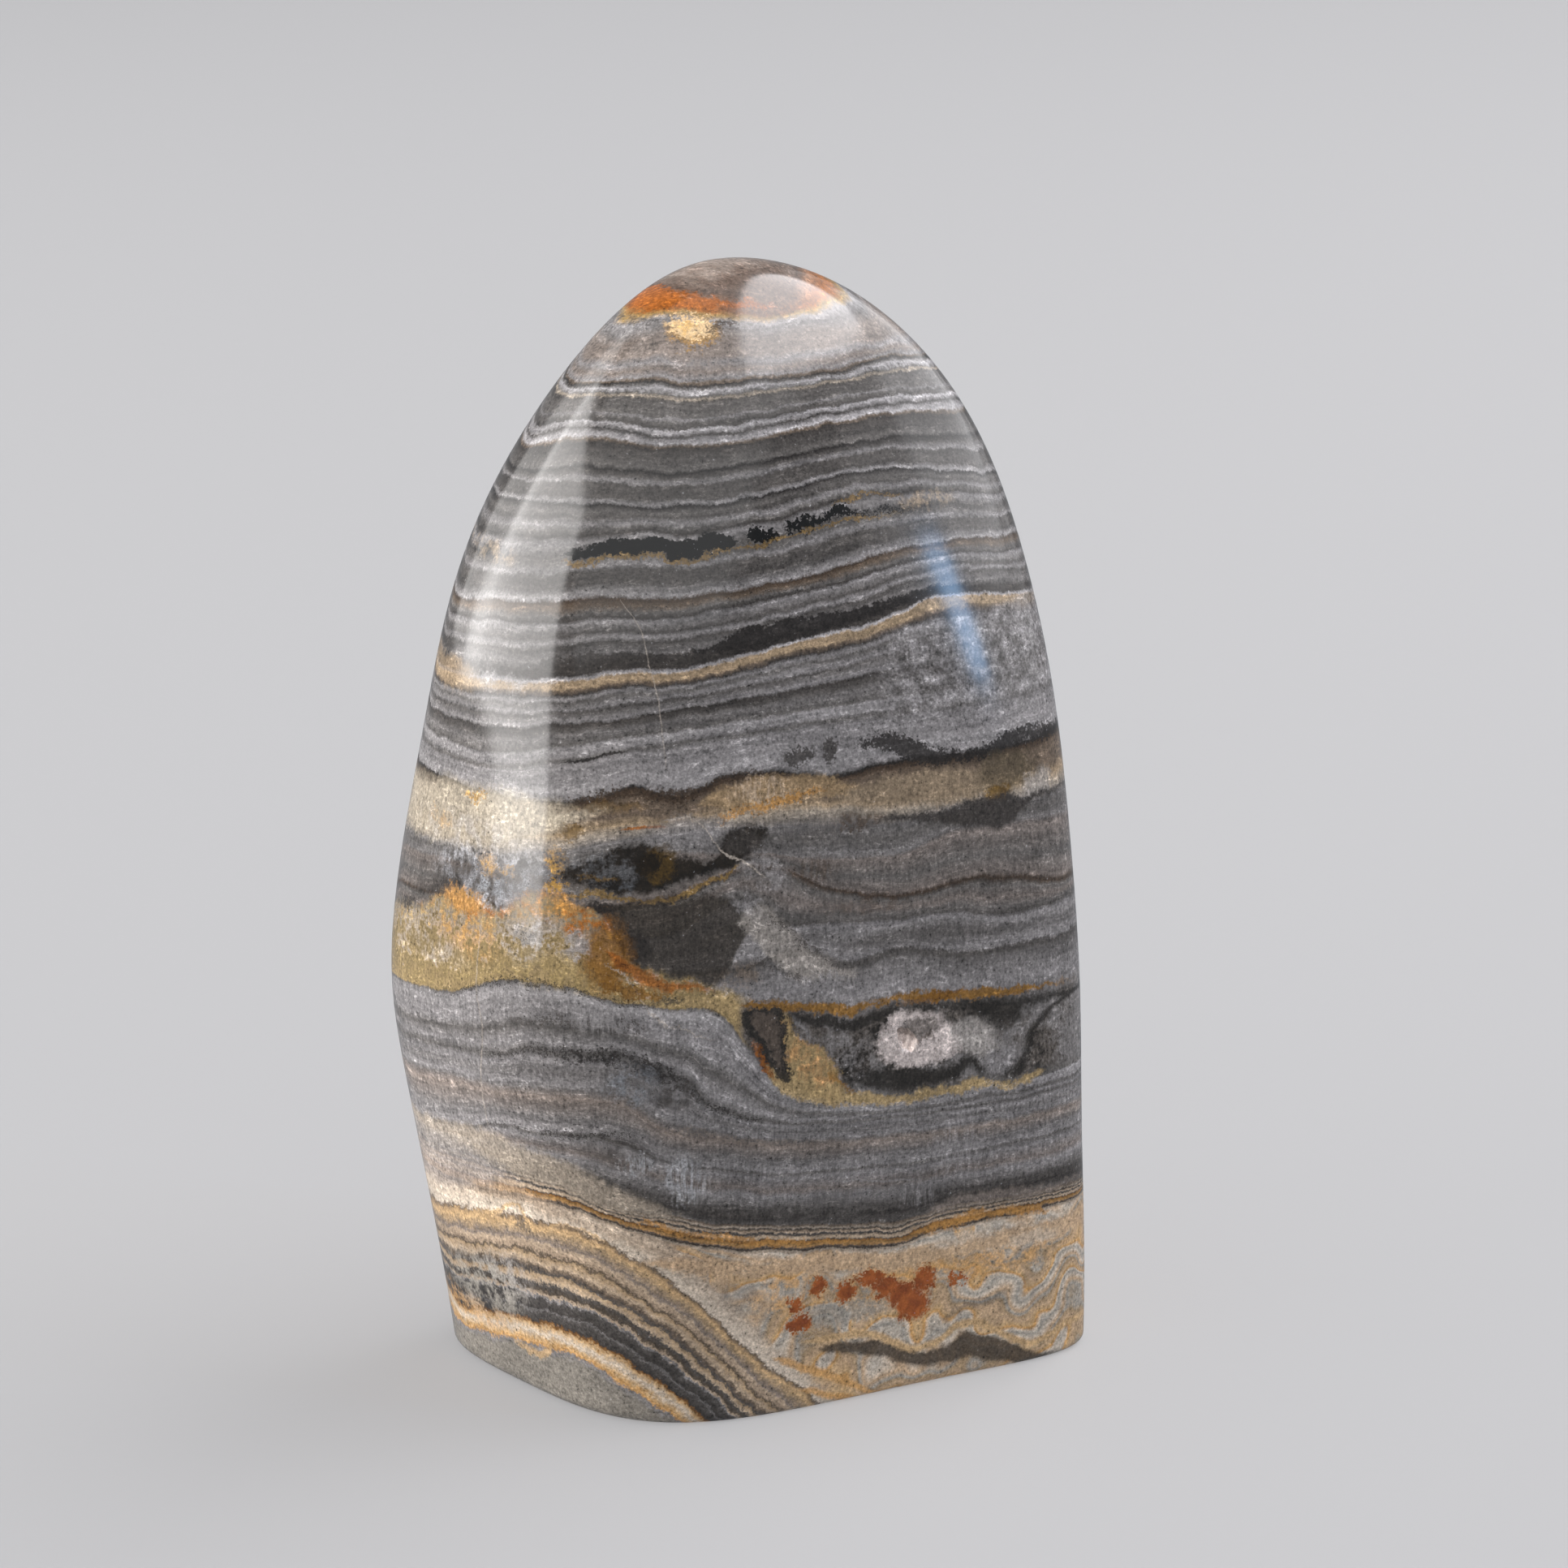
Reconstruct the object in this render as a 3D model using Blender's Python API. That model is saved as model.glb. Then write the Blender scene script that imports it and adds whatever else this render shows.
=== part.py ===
"""A free-standing bumblebee jasper, polished all over and sawn flat below.

Units are metres and +Z is up. The stone rests on z = 0, and the middle of its box
stands over the origin. Its broad face looks along -Y, and the blunt left flank
turns away towards -X.
"""

import math

import bmesh
import bpy
import numpy as np

MM = 0.001

# Driving dimensions
HEIGHT = 100 * MM
DOME_POWER = 4.0  # 2 would close the top like an ellipsoid, more keeps the shoulders full
SUMMIT_LEAN = 5 * MM  # the summit leans back over the base
BASE_SHEAR = 0.17  # slides the foot's back to the left, so its front left corner is obtuse
EASED_EDGE = 0.9 * MM  # rounding where the polish runs over onto the sawn face

# Each cross-section, from the base up, in millimetres: its height, how far it reaches
# left and right of the spine before the dome closes it, its half depth, and how square
# its left and right ends are, where 2 is an ellipse.
SECTIONS = (
    (0, 24.3, 25.1, 18.3, 3.6, 6.6),
    (18, 27.5, 25.3, 19.2, 3.4, 5.8),
    (37, 31.2, 26.0, 19.8, 3.1, 5.0),
    (58, 30.8, 27.2, 19.4, 2.8, 4.1),
    (80, 29.8, 30.4, 18.5, 2.5, 3.1),
    (100, 24.1, 32.8, 17.9, 2.2, 2.2),
)

# A low swelling that the grinding left on the left flank
SWELL_HEIGHT = 35 * MM
SWELL_SPREAD = 9 * MM
SWELL_RISE = 0.5 * MM

# The hand-held grinding also left the faces very slightly uneven
WAVE_RISE = 0.18 * MM
WAVES = ((2, 41 * MM, 0.6), (3, 29 * MM, 2.1), (5, 53 * MM, 4.0))  # lobes, pitch in height, phase

# One small open vug on the broad face, as the ellipsoid that is cut out
VUG_X = 7.1 * MM
VUG_HEIGHT = 33.6 * MM
VUG_HALF_WIDTH = 0.8 * MM
VUG_HALF_LENGTH = 1.35 * MM
VUG_DEPTH = 1.2 * MM
VUG_TILT = math.radians(39)  # its long axis runs down to the right

# Mesh density
RING_POINTS = 68
SIDE_RINGS = 54
EDGE_RINGS = 3


def natural_spline(knots, values, at):
    """The natural cubic spline through the points (knots, values), read at `at`."""
    knots = np.asarray(knots, float)
    values = np.asarray(values, float)
    count = len(knots)
    step = np.diff(knots)
    system = np.eye(count)
    right_side = np.zeros(count)
    for i in range(1, count - 1):
        system[i, i - 1 : i + 2] = step[i - 1], 2 * (step[i - 1] + step[i]), step[i]
        slope_change = (values[i + 1] - values[i]) / step[i] - (values[i] - values[i - 1]) / step[i - 1]
        right_side[i] = 6 * slope_change
    bend = np.linalg.solve(system, right_side)
    i = np.clip(np.searchsorted(knots, at) - 1, 0, count - 2)
    above = (knots[i + 1] - at) / step[i]
    below = 1 - above
    curve = (above**3 - above) * bend[i] + (below**3 - below) * bend[i + 1]
    return above * values[i] + below * values[i + 1] + curve * step[i] ** 2 / 6


def section_values(z):
    """Left reach, right reach, half depth and both squareness values at height z."""
    table = np.array(SECTIONS)
    heights = table[:, 0] * MM
    lengths = [natural_spline(heights, table[:, column] * MM, z) for column in (1, 2, 3)]
    squareness = [natural_spline(heights, table[:, column], z) for column in (4, 5)]
    return (*lengths, *squareness)


def grinding(z, angle):
    """How far the surface stands proud of the plain form, outwards."""
    leftward = np.clip(-np.cos(angle), 0, 1) ** 2
    swell = SWELL_RISE * leftward * np.exp(-(((z - SWELL_HEIGHT) / SWELL_SPREAD) ** 2))
    waves = sum(np.sin(lobes * angle + math.tau * z / pitch + phase) for lobes, pitch, phase in WAVES)
    return swell + WAVE_RISE * waves / len(WAVES)


def surface_point(z, angle):
    """The stone's surface at height z, in the direction `angle` about the spine."""
    dome = math.sqrt(max(0.0, 1 - (z / HEIGHT) ** DOME_POWER))
    left, right, depth, square_left, square_right = section_values(z)
    across, back = math.cos(angle), math.sin(angle)
    squareness = square_left + (square_right - square_left) * (1 + across) / 2
    half_width = (left + right) / 2
    reach = ((abs(across) / half_width) ** squareness + (abs(back) / depth) ** squareness) ** (-1 / squareness)
    reach += grinding(z, angle)
    if z < EASED_EDGE:
        reach -= EASED_EDGE - math.sqrt(EASED_EDGE**2 - (EASED_EDGE - z) ** 2)
    y = dome * reach * back
    x = dome * ((right - left) / 2 + reach * across) - BASE_SHEAR * (1 - z / HEIGHT) * y
    return x, y + SUMMIT_LEAN * (z / HEIGHT) ** 3, z


def ring_heights():
    """Heights of the rings: close together round the eased edge and towards the summit."""
    edge = [EASED_EDGE * (1 - math.cos(math.pi / 2 * i / EDGE_RINGS)) for i in range(EDGE_RINGS)]
    side = np.sin(np.linspace(math.asin(EASED_EDGE / HEIGHT), math.pi / 2, SIDE_RINGS + 1))
    return edge + [HEIGHT * share for share in side[:-1]]


def stone_mesh():
    """The closed body: rings up the sides, a flat polygon below and a fan at the summit."""
    body = bmesh.new()
    angles = [math.tau * i / RING_POINTS for i in range(RING_POINTS)]
    rings = [[body.verts.new(surface_point(z, angle)) for angle in angles] for z in ring_heights()]
    summit = body.verts.new((0, SUMMIT_LEAN, HEIGHT))
    body.faces.new(reversed(rings[0]))
    for lower, upper in zip(rings, rings[1:]):
        for i in range(RING_POINTS):
            j = (i + 1) % RING_POINTS
            body.faces.new((lower[i], lower[j], upper[j], upper[i]))
    for i in range(RING_POINTS):
        body.faces.new((rings[-1][i], rings[-1][(i + 1) % RING_POINTS], summit))
    centre_over_origin(body)
    mesh = bpy.data.meshes.new("stone")
    body.to_mesh(mesh)
    body.free()
    mesh.shade_smooth()
    mesh.set_sharp_from_angle(angle=math.radians(40))
    return mesh


def centre_over_origin(body):
    """Moves the mesh sideways until the middle of its box is over the origin."""
    middle = [(min(v.co[k] for v in body.verts) + max(v.co[k] for v in body.verts)) / 2 for k in (0, 1)]
    bmesh.ops.translate(body, verts=body.verts, vec=(-middle[0], -middle[1], 0))


def front_face_y(mesh, x, z):
    """Where the broad front face lies at (x, z)."""
    front = [v.co for v in mesh.vertices if v.co.y < 0]
    nearest = sorted(front, key=lambda point: (point.x - x) ** 2 + (point.z - z) ** 2)[:4]
    return sum(point.y for point in nearest) / len(nearest)


def cut_vug(stone):
    """Cuts the small open vug into the broad face with a hidden lumpy ellipsoid."""
    shape = bmesh.new()
    bmesh.ops.create_icosphere(shape, subdivisions=3, radius=1)
    for vert in shape.verts:
        lump = 1 + 0.12 * math.sin(5 * vert.co.x + 3 * vert.co.z) * math.cos(4 * vert.co.z - 2 * vert.co.y)
        vert.co *= lump
    mesh = bpy.data.meshes.new("vug_cutter")
    shape.to_mesh(mesh)
    shape.free()
    cutter = bpy.data.objects.new("vug_cutter", mesh)
    cutter.location = (VUG_X, front_face_y(stone.data, VUG_X, VUG_HEIGHT), VUG_HEIGHT)
    cutter.rotation_euler = (0, -VUG_TILT, 0)
    cutter.scale = (VUG_HALF_WIDTH, VUG_DEPTH, VUG_HALF_LENGTH)
    cutter.hide_render = True
    cutter.display_type = "WIRE"
    bpy.context.collection.objects.link(cutter)
    boolean = stone.modifiers.new("vug", "BOOLEAN")
    boolean.operation = "DIFFERENCE"
    boolean.solver = "EXACT"
    boolean.object = cutter


def polished_stone():
    """Grey and ochre banded carbonate with a glassy polish."""
    material = bpy.data.materials.new("polished_stone")
    material.use_nodes = True
    shader = material.node_tree.nodes["Principled BSDF"]
    shader.inputs["Base Color"].default_value = (0.24, 0.21, 0.17, 1)
    shader.inputs["Roughness"].default_value = 0.2
    shader.inputs["Metallic"].default_value = 0
    return material


def main():
    for obj in list(bpy.data.objects):
        bpy.data.objects.remove(obj)
    stone = bpy.data.objects.new("stone", stone_mesh())
    stone.data.materials.append(polished_stone())
    bpy.context.collection.objects.link(stone)
    cut_vug(stone)


main()
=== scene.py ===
import math

import bmesh
import bpy
import numpy as np
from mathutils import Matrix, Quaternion, Vector


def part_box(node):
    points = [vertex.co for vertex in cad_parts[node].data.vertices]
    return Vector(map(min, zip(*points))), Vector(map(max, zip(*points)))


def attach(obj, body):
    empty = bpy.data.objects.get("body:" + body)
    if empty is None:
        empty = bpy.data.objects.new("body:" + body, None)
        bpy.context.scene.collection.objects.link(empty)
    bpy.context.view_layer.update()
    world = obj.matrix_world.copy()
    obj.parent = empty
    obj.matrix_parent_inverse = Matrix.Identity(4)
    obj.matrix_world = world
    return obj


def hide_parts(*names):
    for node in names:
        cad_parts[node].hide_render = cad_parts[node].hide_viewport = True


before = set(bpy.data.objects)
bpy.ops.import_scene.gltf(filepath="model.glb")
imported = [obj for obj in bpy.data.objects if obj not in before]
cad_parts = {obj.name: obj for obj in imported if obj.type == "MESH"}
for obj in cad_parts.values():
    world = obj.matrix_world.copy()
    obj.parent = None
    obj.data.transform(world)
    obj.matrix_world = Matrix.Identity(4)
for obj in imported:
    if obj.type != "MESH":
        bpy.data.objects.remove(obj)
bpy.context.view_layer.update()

MM = 0.001

# The stone's form, as in its solid: driving sizes first, in metres
HEIGHT = 100 * MM
DOME_POWER = 4.0
SUMMIT_LEAN = 5 * MM
BASE_SHEAR = 0.17
EASED_EDGE = 0.9 * MM
SECTIONS = (
    (0, 24.3, 25.1, 18.3, 3.6, 6.6),
    (18, 27.5, 25.3, 19.2, 3.4, 5.8),
    (37, 31.2, 26.0, 19.8, 3.1, 5.0),
    (58, 30.8, 27.2, 19.4, 2.8, 4.1),
    (80, 29.8, 30.4, 18.5, 2.5, 3.1),
    (100, 24.1, 32.8, 17.9, 2.2, 2.2),
)
SWELL_HEIGHT = 35 * MM
SWELL_SPREAD = 9 * MM
SWELL_RISE = 0.5 * MM
WAVE_RISE = 0.18 * MM
WAVES = ((2, 41 * MM, 0.6), (3, 29 * MM, 2.1), (5, 53 * MM, 4.0))
VUG_X = 7.1 * MM
VUG_HEIGHT = 33.6 * MM
VUG_HALF_WIDTH = 0.8 * MM
VUG_HALF_LENGTH = 1.35 * MM
VUG_DEPTH = 1.2 * MM
VUG_TILT = math.radians(39)

# Fine mesh
RING_POINTS = 384
SIDE_RINGS = 236
EDGE_RINGS = 8

# The beds are drawn on a section plane through the stone, turned from the broad face by STRIKE.
# u runs along that plane, w into the stone and v up, all in millimetres.
STRIKE = math.radians(29.3)


# Form
def natural_spline(knots, values, at):
    """The natural cubic spline through the points (knots, values), read at `at`."""
    knots = np.asarray(knots, float)
    values = np.asarray(values, float)
    count = len(knots)
    step = np.diff(knots)
    system = np.eye(count)
    right_side = np.zeros(count)
    for i in range(1, count - 1):
        system[i, i - 1 : i + 2] = step[i - 1], 2 * (step[i - 1] + step[i]), step[i]
        slope_change = (values[i + 1] - values[i]) / step[i] - (values[i] - values[i - 1]) / step[i - 1]
        right_side[i] = 6 * slope_change
    bend = np.linalg.solve(system, right_side)
    i = np.clip(np.searchsorted(knots, at) - 1, 0, count - 2)
    above = (knots[i + 1] - at) / step[i]
    below = 1 - above
    curve = (above**3 - above) * bend[i] + (below**3 - below) * bend[i + 1]
    return above * values[i] + below * values[i + 1] + curve * step[i] ** 2 / 6


def grinding(z, angle):
    """How far the hand-ground surface stands proud of the plain form."""
    leftward = np.clip(-np.cos(angle), 0, 1) ** 2
    swell = SWELL_RISE * leftward * np.exp(-(((z - SWELL_HEIGHT) / SWELL_SPREAD) ** 2))
    waves = sum(np.sin(lobes * angle + math.tau * z / pitch + phase) for lobes, pitch, phase in WAVES)
    return swell + WAVE_RISE * waves / len(WAVES)


def surface_points(z, angle):
    """The surface at heights z and directions `angle` about the spine, as an array of points."""
    table = np.array(SECTIONS)
    heights = table[:, 0] * MM
    left, right, depth = (natural_spline(heights, table[:, k] * MM, z) for k in (1, 2, 3))
    square_left, square_right = (natural_spline(heights, table[:, k], z) for k in (4, 5))
    dome = np.sqrt(np.clip(1 - (z / HEIGHT) ** DOME_POWER, 0, 1))
    across, back = np.cos(angle), np.sin(angle)
    squareness = square_left + (square_right - square_left) * (1 + across) / 2
    half_width = (left + right) / 2
    reach = (np.abs(across / half_width) ** squareness + np.abs(back / depth) ** squareness) ** (-1 / squareness)
    reach = reach + grinding(z, angle)
    low = np.clip(EASED_EDGE - z, 0, EASED_EDGE)
    reach = reach - (EASED_EDGE - np.sqrt(EASED_EDGE**2 - low**2))
    y = dome * reach * back
    x = dome * ((right - left) / 2 + reach * across) - BASE_SHEAR * (1 - z / HEIGHT) * y
    return np.stack([x, y + SUMMIT_LEAN * (z / HEIGHT) ** 3, z], axis=-1)


def ring_heights():
    """Heights of the rings: close together round the eased edge and towards the summit."""
    edge = EASED_EDGE * (1 - np.cos(math.pi / 2 * np.arange(EDGE_RINGS) / EDGE_RINGS))
    side = HEIGHT * np.sin(np.linspace(math.asin(EASED_EDGE / HEIGHT), math.pi / 2, SIDE_RINGS + 1)[:-1])
    return np.concatenate([edge, side])


def fine_stone():
    """The stone's skin as a closed fine mesh that fills the solid's box exactly."""
    heights = ring_heights()
    angles = math.tau * np.arange(RING_POINTS) / RING_POINTS
    z, angle = np.meshgrid(heights, angles, indexing="ij")
    points = surface_points(z, angle).reshape(-1, 3)
    rings = len(heights)
    summit = len(points)
    foot = summit + 1
    points = np.vstack([points, [(0, SUMMIT_LEAN, HEIGHT)], [(0, 0, 0)]])
    low, high = (np.array(corner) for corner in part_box("stone"))
    sizes = points.max(axis=0) - points.min(axis=0)
    points = low + (points - points.min(axis=0)) * (high - low) / sizes
    points[foot] = points[:RING_POINTS].mean(axis=0)
    i, j = np.meshgrid(np.arange(rings - 1), np.arange(RING_POINTS), indexing="ij")
    k = (j + 1) % RING_POINTS
    sides = np.stack([i, i, i + 1, i + 1], -1) * RING_POINTS + np.stack([j, k, k, j], -1)
    around = np.arange(RING_POINTS)
    after = (around + 1) % RING_POINTS
    top = (rings - 1) * RING_POINTS
    faces = [tuple(quad) for quad in sides.reshape(-1, 4)]
    faces += [(top + a, top + b, summit) for a, b in zip(around, after)]
    faces += [(b, a, foot) for a, b in zip(around, after)]
    mesh = bpy.data.meshes.new("stone_polished")
    mesh.from_pydata(points.tolist(), [], faces)
    mesh.shade_smooth()
    return bpy.data.objects.new("stone_polished", mesh)


def cut_vug(stone):
    """Sinks the small crystal-lined hole into the broad face."""
    shape = bmesh.new()
    bmesh.ops.create_icosphere(shape, subdivisions=4, radius=1)
    for corner in shape.verts:
        x, y, z = corner.co
        corner.co *= 1 + 0.10 * math.sin(5 * x + 3 * z) + 0.07 * math.sin(9 * z - 4 * x + 7 * y)
    mesh = bpy.data.meshes.new("vug")
    shape.to_mesh(mesh)
    shape.free()
    cutter = bpy.data.objects.new("vug", mesh)
    skin = min((point.co for point in stone.data.vertices), key=vug_distance)
    cutter.location = (VUG_X, skin.y, VUG_HEIGHT)
    cutter.rotation_euler = (0, -VUG_TILT, 0)
    cutter.scale = (VUG_HALF_WIDTH, VUG_DEPTH, VUG_HALF_LENGTH)
    bpy.context.scene.collection.objects.link(cutter)
    hole = stone.modifiers.new("vug", "BOOLEAN")
    hole.operation = "DIFFERENCE"
    hole.solver = "EXACT"
    hole.object = cutter
    bpy.context.view_layer.update()
    whole = stone.evaluated_get(bpy.context.evaluated_depsgraph_get())
    result = bpy.data.meshes.new_from_object(whole)
    stone.modifiers.clear()
    stone.data = result
    bpy.data.objects.remove(cutter)


def vug_distance(point):
    """How far a corner of the front face is from the vug, seen from the front."""
    return math.hypot(point.x - VUG_X, point.z - VUG_HEIGHT) if point.y < 0 else 1.0


# Camera, light and floor
def camera_and_light():
    scene = bpy.context.scene
    scene.view_settings.view_transform = "Standard"
    camera = bpy.data.objects.new("camera", bpy.data.cameras.new("camera"))
    camera.data.lens = 85
    camera.data.sensor_width = 24
    camera.data.clip_start = 0.01
    camera.location = (-0.23175, -0.42307, 0.18248)
    camera.rotation_euler = (math.radians(75), 0, -STRIKE)
    scene.collection.objects.link(camera)
    scene.camera = camera

    world = bpy.data.worlds.new("studio")
    world.use_nodes = True
    world.node_tree.nodes["Background"].inputs["Color"].default_value = (0.80, 0.83, 0.88, 1)
    world.node_tree.nodes["Background"].inputs["Strength"].default_value = 0.28
    scene.world = world

    softbox("window_left", (-113, 26.5), 2.22, (2.6, 2.1), 90, (1.0, 0.98, 0.96), upright=True, shadow=False)
    softbox("window_far", (-152, 26.5), 2.22, (0.75, 2.1), 9, (1.0, 0.98, 0.96), upright=True, shadow=False)
    softbox("window_top", (84, 56.5), 2.0, (2.3, 1.0), 36, (1.0, 0.97, 0.98), "ELLIPSE", roll=-13, shadow=False)
    softbox("window_blue", (46, 13.0), 2.0, (0.22, 0.45), 2.6, (0.36, 0.62, 1.0))
    softbox("wall_right", (90, 26), 2.2, (3.2, 1.3), 14, (0.98, 0.98, 1.0), "ELLIPSE")
    softbox("wall_far", (86, 26), 2.4, (5.4, 2.4), 19, (0.98, 0.98, 1.0), "ELLIPSE", shadow=False)
    softbox("ceiling", (-25, 64), 2.8, (5.0, 5.0), 57, (1.0, 1.0, 1.0), shadow=False)


def softbox(name, direction, distance, size, power, colour, shape="RECTANGLE", roll=0, upright=False, shadow=True):
    """A light panel that faces the stone from a compass direction and height, in degrees."""
    azimuth, elevation = (math.radians(angle) for angle in direction)
    aim = Vector((0, 0, 0.05))
    level = math.cos(elevation)
    way = Vector((math.sin(azimuth) * level, -math.cos(azimuth) * level, math.sin(elevation)))
    light = bpy.data.objects.new(name, bpy.data.lights.new(name, "AREA"))
    light.data.shape = shape
    light.data.size, light.data.size_y = size
    light.data.energy = power
    light.data.color = colour
    light.location = aim + way * distance
    facing = Vector((way.x, way.y, 0)) if upright else way
    light.rotation_euler = (facing.to_track_quat("Z", "Y") @ Quaternion((0, 0, 1), math.radians(roll))).to_euler()
    light.data.use_shadow = shadow
    light.visible_camera = False
    bpy.context.scene.collection.objects.link(light)


def floor():
    mesh = bpy.data.meshes.new("floor")
    mesh.from_pydata([(-4, -4, 0), (4, -4, 0), (4, 4, 0), (-4, 4, 0)], [], [(0, 1, 2, 3)])
    plane = bpy.data.objects.new("floor", mesh)
    material = bpy.data.materials.new("pale_floor")
    material.use_nodes = True
    shader = material.node_tree.nodes["Principled BSDF"]
    shader.inputs["Base Color"].default_value = (0.304, 0.305, 0.311, 1)
    shader.inputs["Roughness"].default_value = 0.9
    mesh.materials.append(material)
    bpy.context.scene.collection.objects.link(plane)
    plane.visible_glossy = False


# Numbers that vary over the stone, as shader nodes
class Field:
    """A number at every point of the stone, with arithmetic that adds the nodes for it."""

    def __init__(self, socket):
        self.socket = socket

    def __add__(self, other):
        return maths("ADD", self, other)

    def __radd__(self, other):
        return maths("ADD", other, self)

    def __sub__(self, other):
        return maths("SUBTRACT", self, other)

    def __rsub__(self, other):
        return maths("SUBTRACT", other, self)

    def __mul__(self, other):
        return maths("MULTIPLY", self, other)

    def __rmul__(self, other):
        return maths("MULTIPLY", other, self)

    def __truediv__(self, other):
        return maths("DIVIDE", self, other)

    def __abs__(self):
        return maths("ABSOLUTE", self)


TREE = None


def add_node(kind):
    return TREE.nodes.new(kind)


def feed(socket, value):
    """Links a field or another socket to `socket`, or sets it to a number or a colour."""
    if isinstance(value, Field):
        TREE.links.new(value.socket, socket)
    elif isinstance(value, bpy.types.NodeSocket):
        TREE.links.new(value, socket)
    else:
        socket.default_value = value


def maths(operation, *values, clamp=False):
    step = add_node("ShaderNodeMath")
    step.operation = operation
    step.use_clamp = clamp
    for socket, value in zip(step.inputs, values):
        feed(socket, value)
    return Field(step.outputs[0])


def both(a, b):
    return maths("MULTIPLY", a, b)


def either(a, b):
    return maths("MAXIMUM", a, b)


def rise(field, low, high, top=1.0):
    """0 below `low`, `top` above `high`, eased between; with low above high it falls instead."""
    step = add_node("ShaderNodeMapRange")
    step.interpolation_type = "SMOOTHSTEP"
    step.clamp = False
    feed(step.inputs["Value"], field)
    step.inputs["From Min"].default_value = min(low, high)
    step.inputs["From Max"].default_value = max(low, high)
    step.inputs["To Min"].default_value = 0 if low < high else top
    step.inputs["To Max"].default_value = top if low < high else 0
    return Field(step.outputs["Result"])


def curve(field, points):
    """A smooth function of `field` through the points."""
    step = add_node("ShaderNodeFloatCurve")
    step.mapping.use_clip = False
    line = step.mapping.curves[0]
    while len(line.points) < len(points):
        line.points.new(0, 0)
    for knot, (x, y) in zip(line.points, sorted(points)):
        knot.location = (x, y)
        knot.handle_type = "AUTO_CLAMPED"
    step.mapping.update()
    feed(step.inputs["Value"], field)
    return Field(step.outputs["Value"])


def place(x, y, z):
    """A position with these three fields, for a texture to read."""
    step = add_node("ShaderNodeCombineXYZ")
    for socket, value in zip(step.inputs, (x, y, z)):
        feed(socket, value)
    return step.outputs[0]


def noise(position, scale, detail=2.0, roughness=0.5):
    """Three independent noises between 0 and 1, about 0.5."""
    step = add_node("ShaderNodeTexNoise")
    feed(step.inputs["Vector"], position)
    step.inputs["Scale"].default_value = scale
    step.inputs["Detail"].default_value = detail
    step.inputs["Roughness"].default_value = roughness
    split = add_node("ShaderNodeSeparateColor")
    TREE.links.new(step.outputs["Color"], split.inputs[0])
    return [Field(socket) for socket in split.outputs[:3]]


def plain_noise(position, scale, detail=2.0, roughness=0.5):
    """One noise between 0 and 1, about 0.5."""
    step = add_node("ShaderNodeTexNoise")
    feed(step.inputs["Vector"], position)
    step.inputs["Scale"].default_value = scale
    step.inputs["Detail"].default_value = detail
    step.inputs["Roughness"].default_value = roughness
    return Field(step.outputs[0])


def tone(colour):
    """The linear base colour that shows a named colour, or 0 to 255 display values, under the scene's light."""
    values = np.array(PALETTE[colour] if isinstance(colour, str) else colour) / 255
    linear = np.where(values <= 0.04045, values / 12.92, ((values + 0.055) / 1.055) ** 2.4)
    base = np.maximum((linear - SHEEN) / LIGHT_LEVEL, LEAST_TONE)
    return (*(float(x) for x in base), 1.0)


def bands(field, stops):
    """Colours in order of `field`, one stop for each (value, colour)."""
    low, high = stops[0][0], stops[-1][0]
    along = (field - low) / (high - low)
    ramp = add_node("ShaderNodeValToRGB")
    elements = ramp.color_ramp.elements
    while len(elements) < len(stops):
        elements.new(1.0)
    for element, (value, colour) in zip(elements, stops):
        element.position = (value - low) / (high - low)
        element.color = tone(colour)
    feed(ramp.inputs[0], along)
    return ramp.outputs["Color"]


def blend(share, first, second):
    """`first` turned into `second` by `share`; each is a colour socket or a colour."""
    step = add_node("ShaderNodeMix")
    step.data_type = "RGBA"
    feed(step.inputs[0], share)
    for socket, value in zip((step.inputs[6], step.inputs[7]), (first, second)):
        feed(socket, tone(value) if isinstance(value, (str, tuple)) else value)
    return step.outputs[2]


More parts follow.
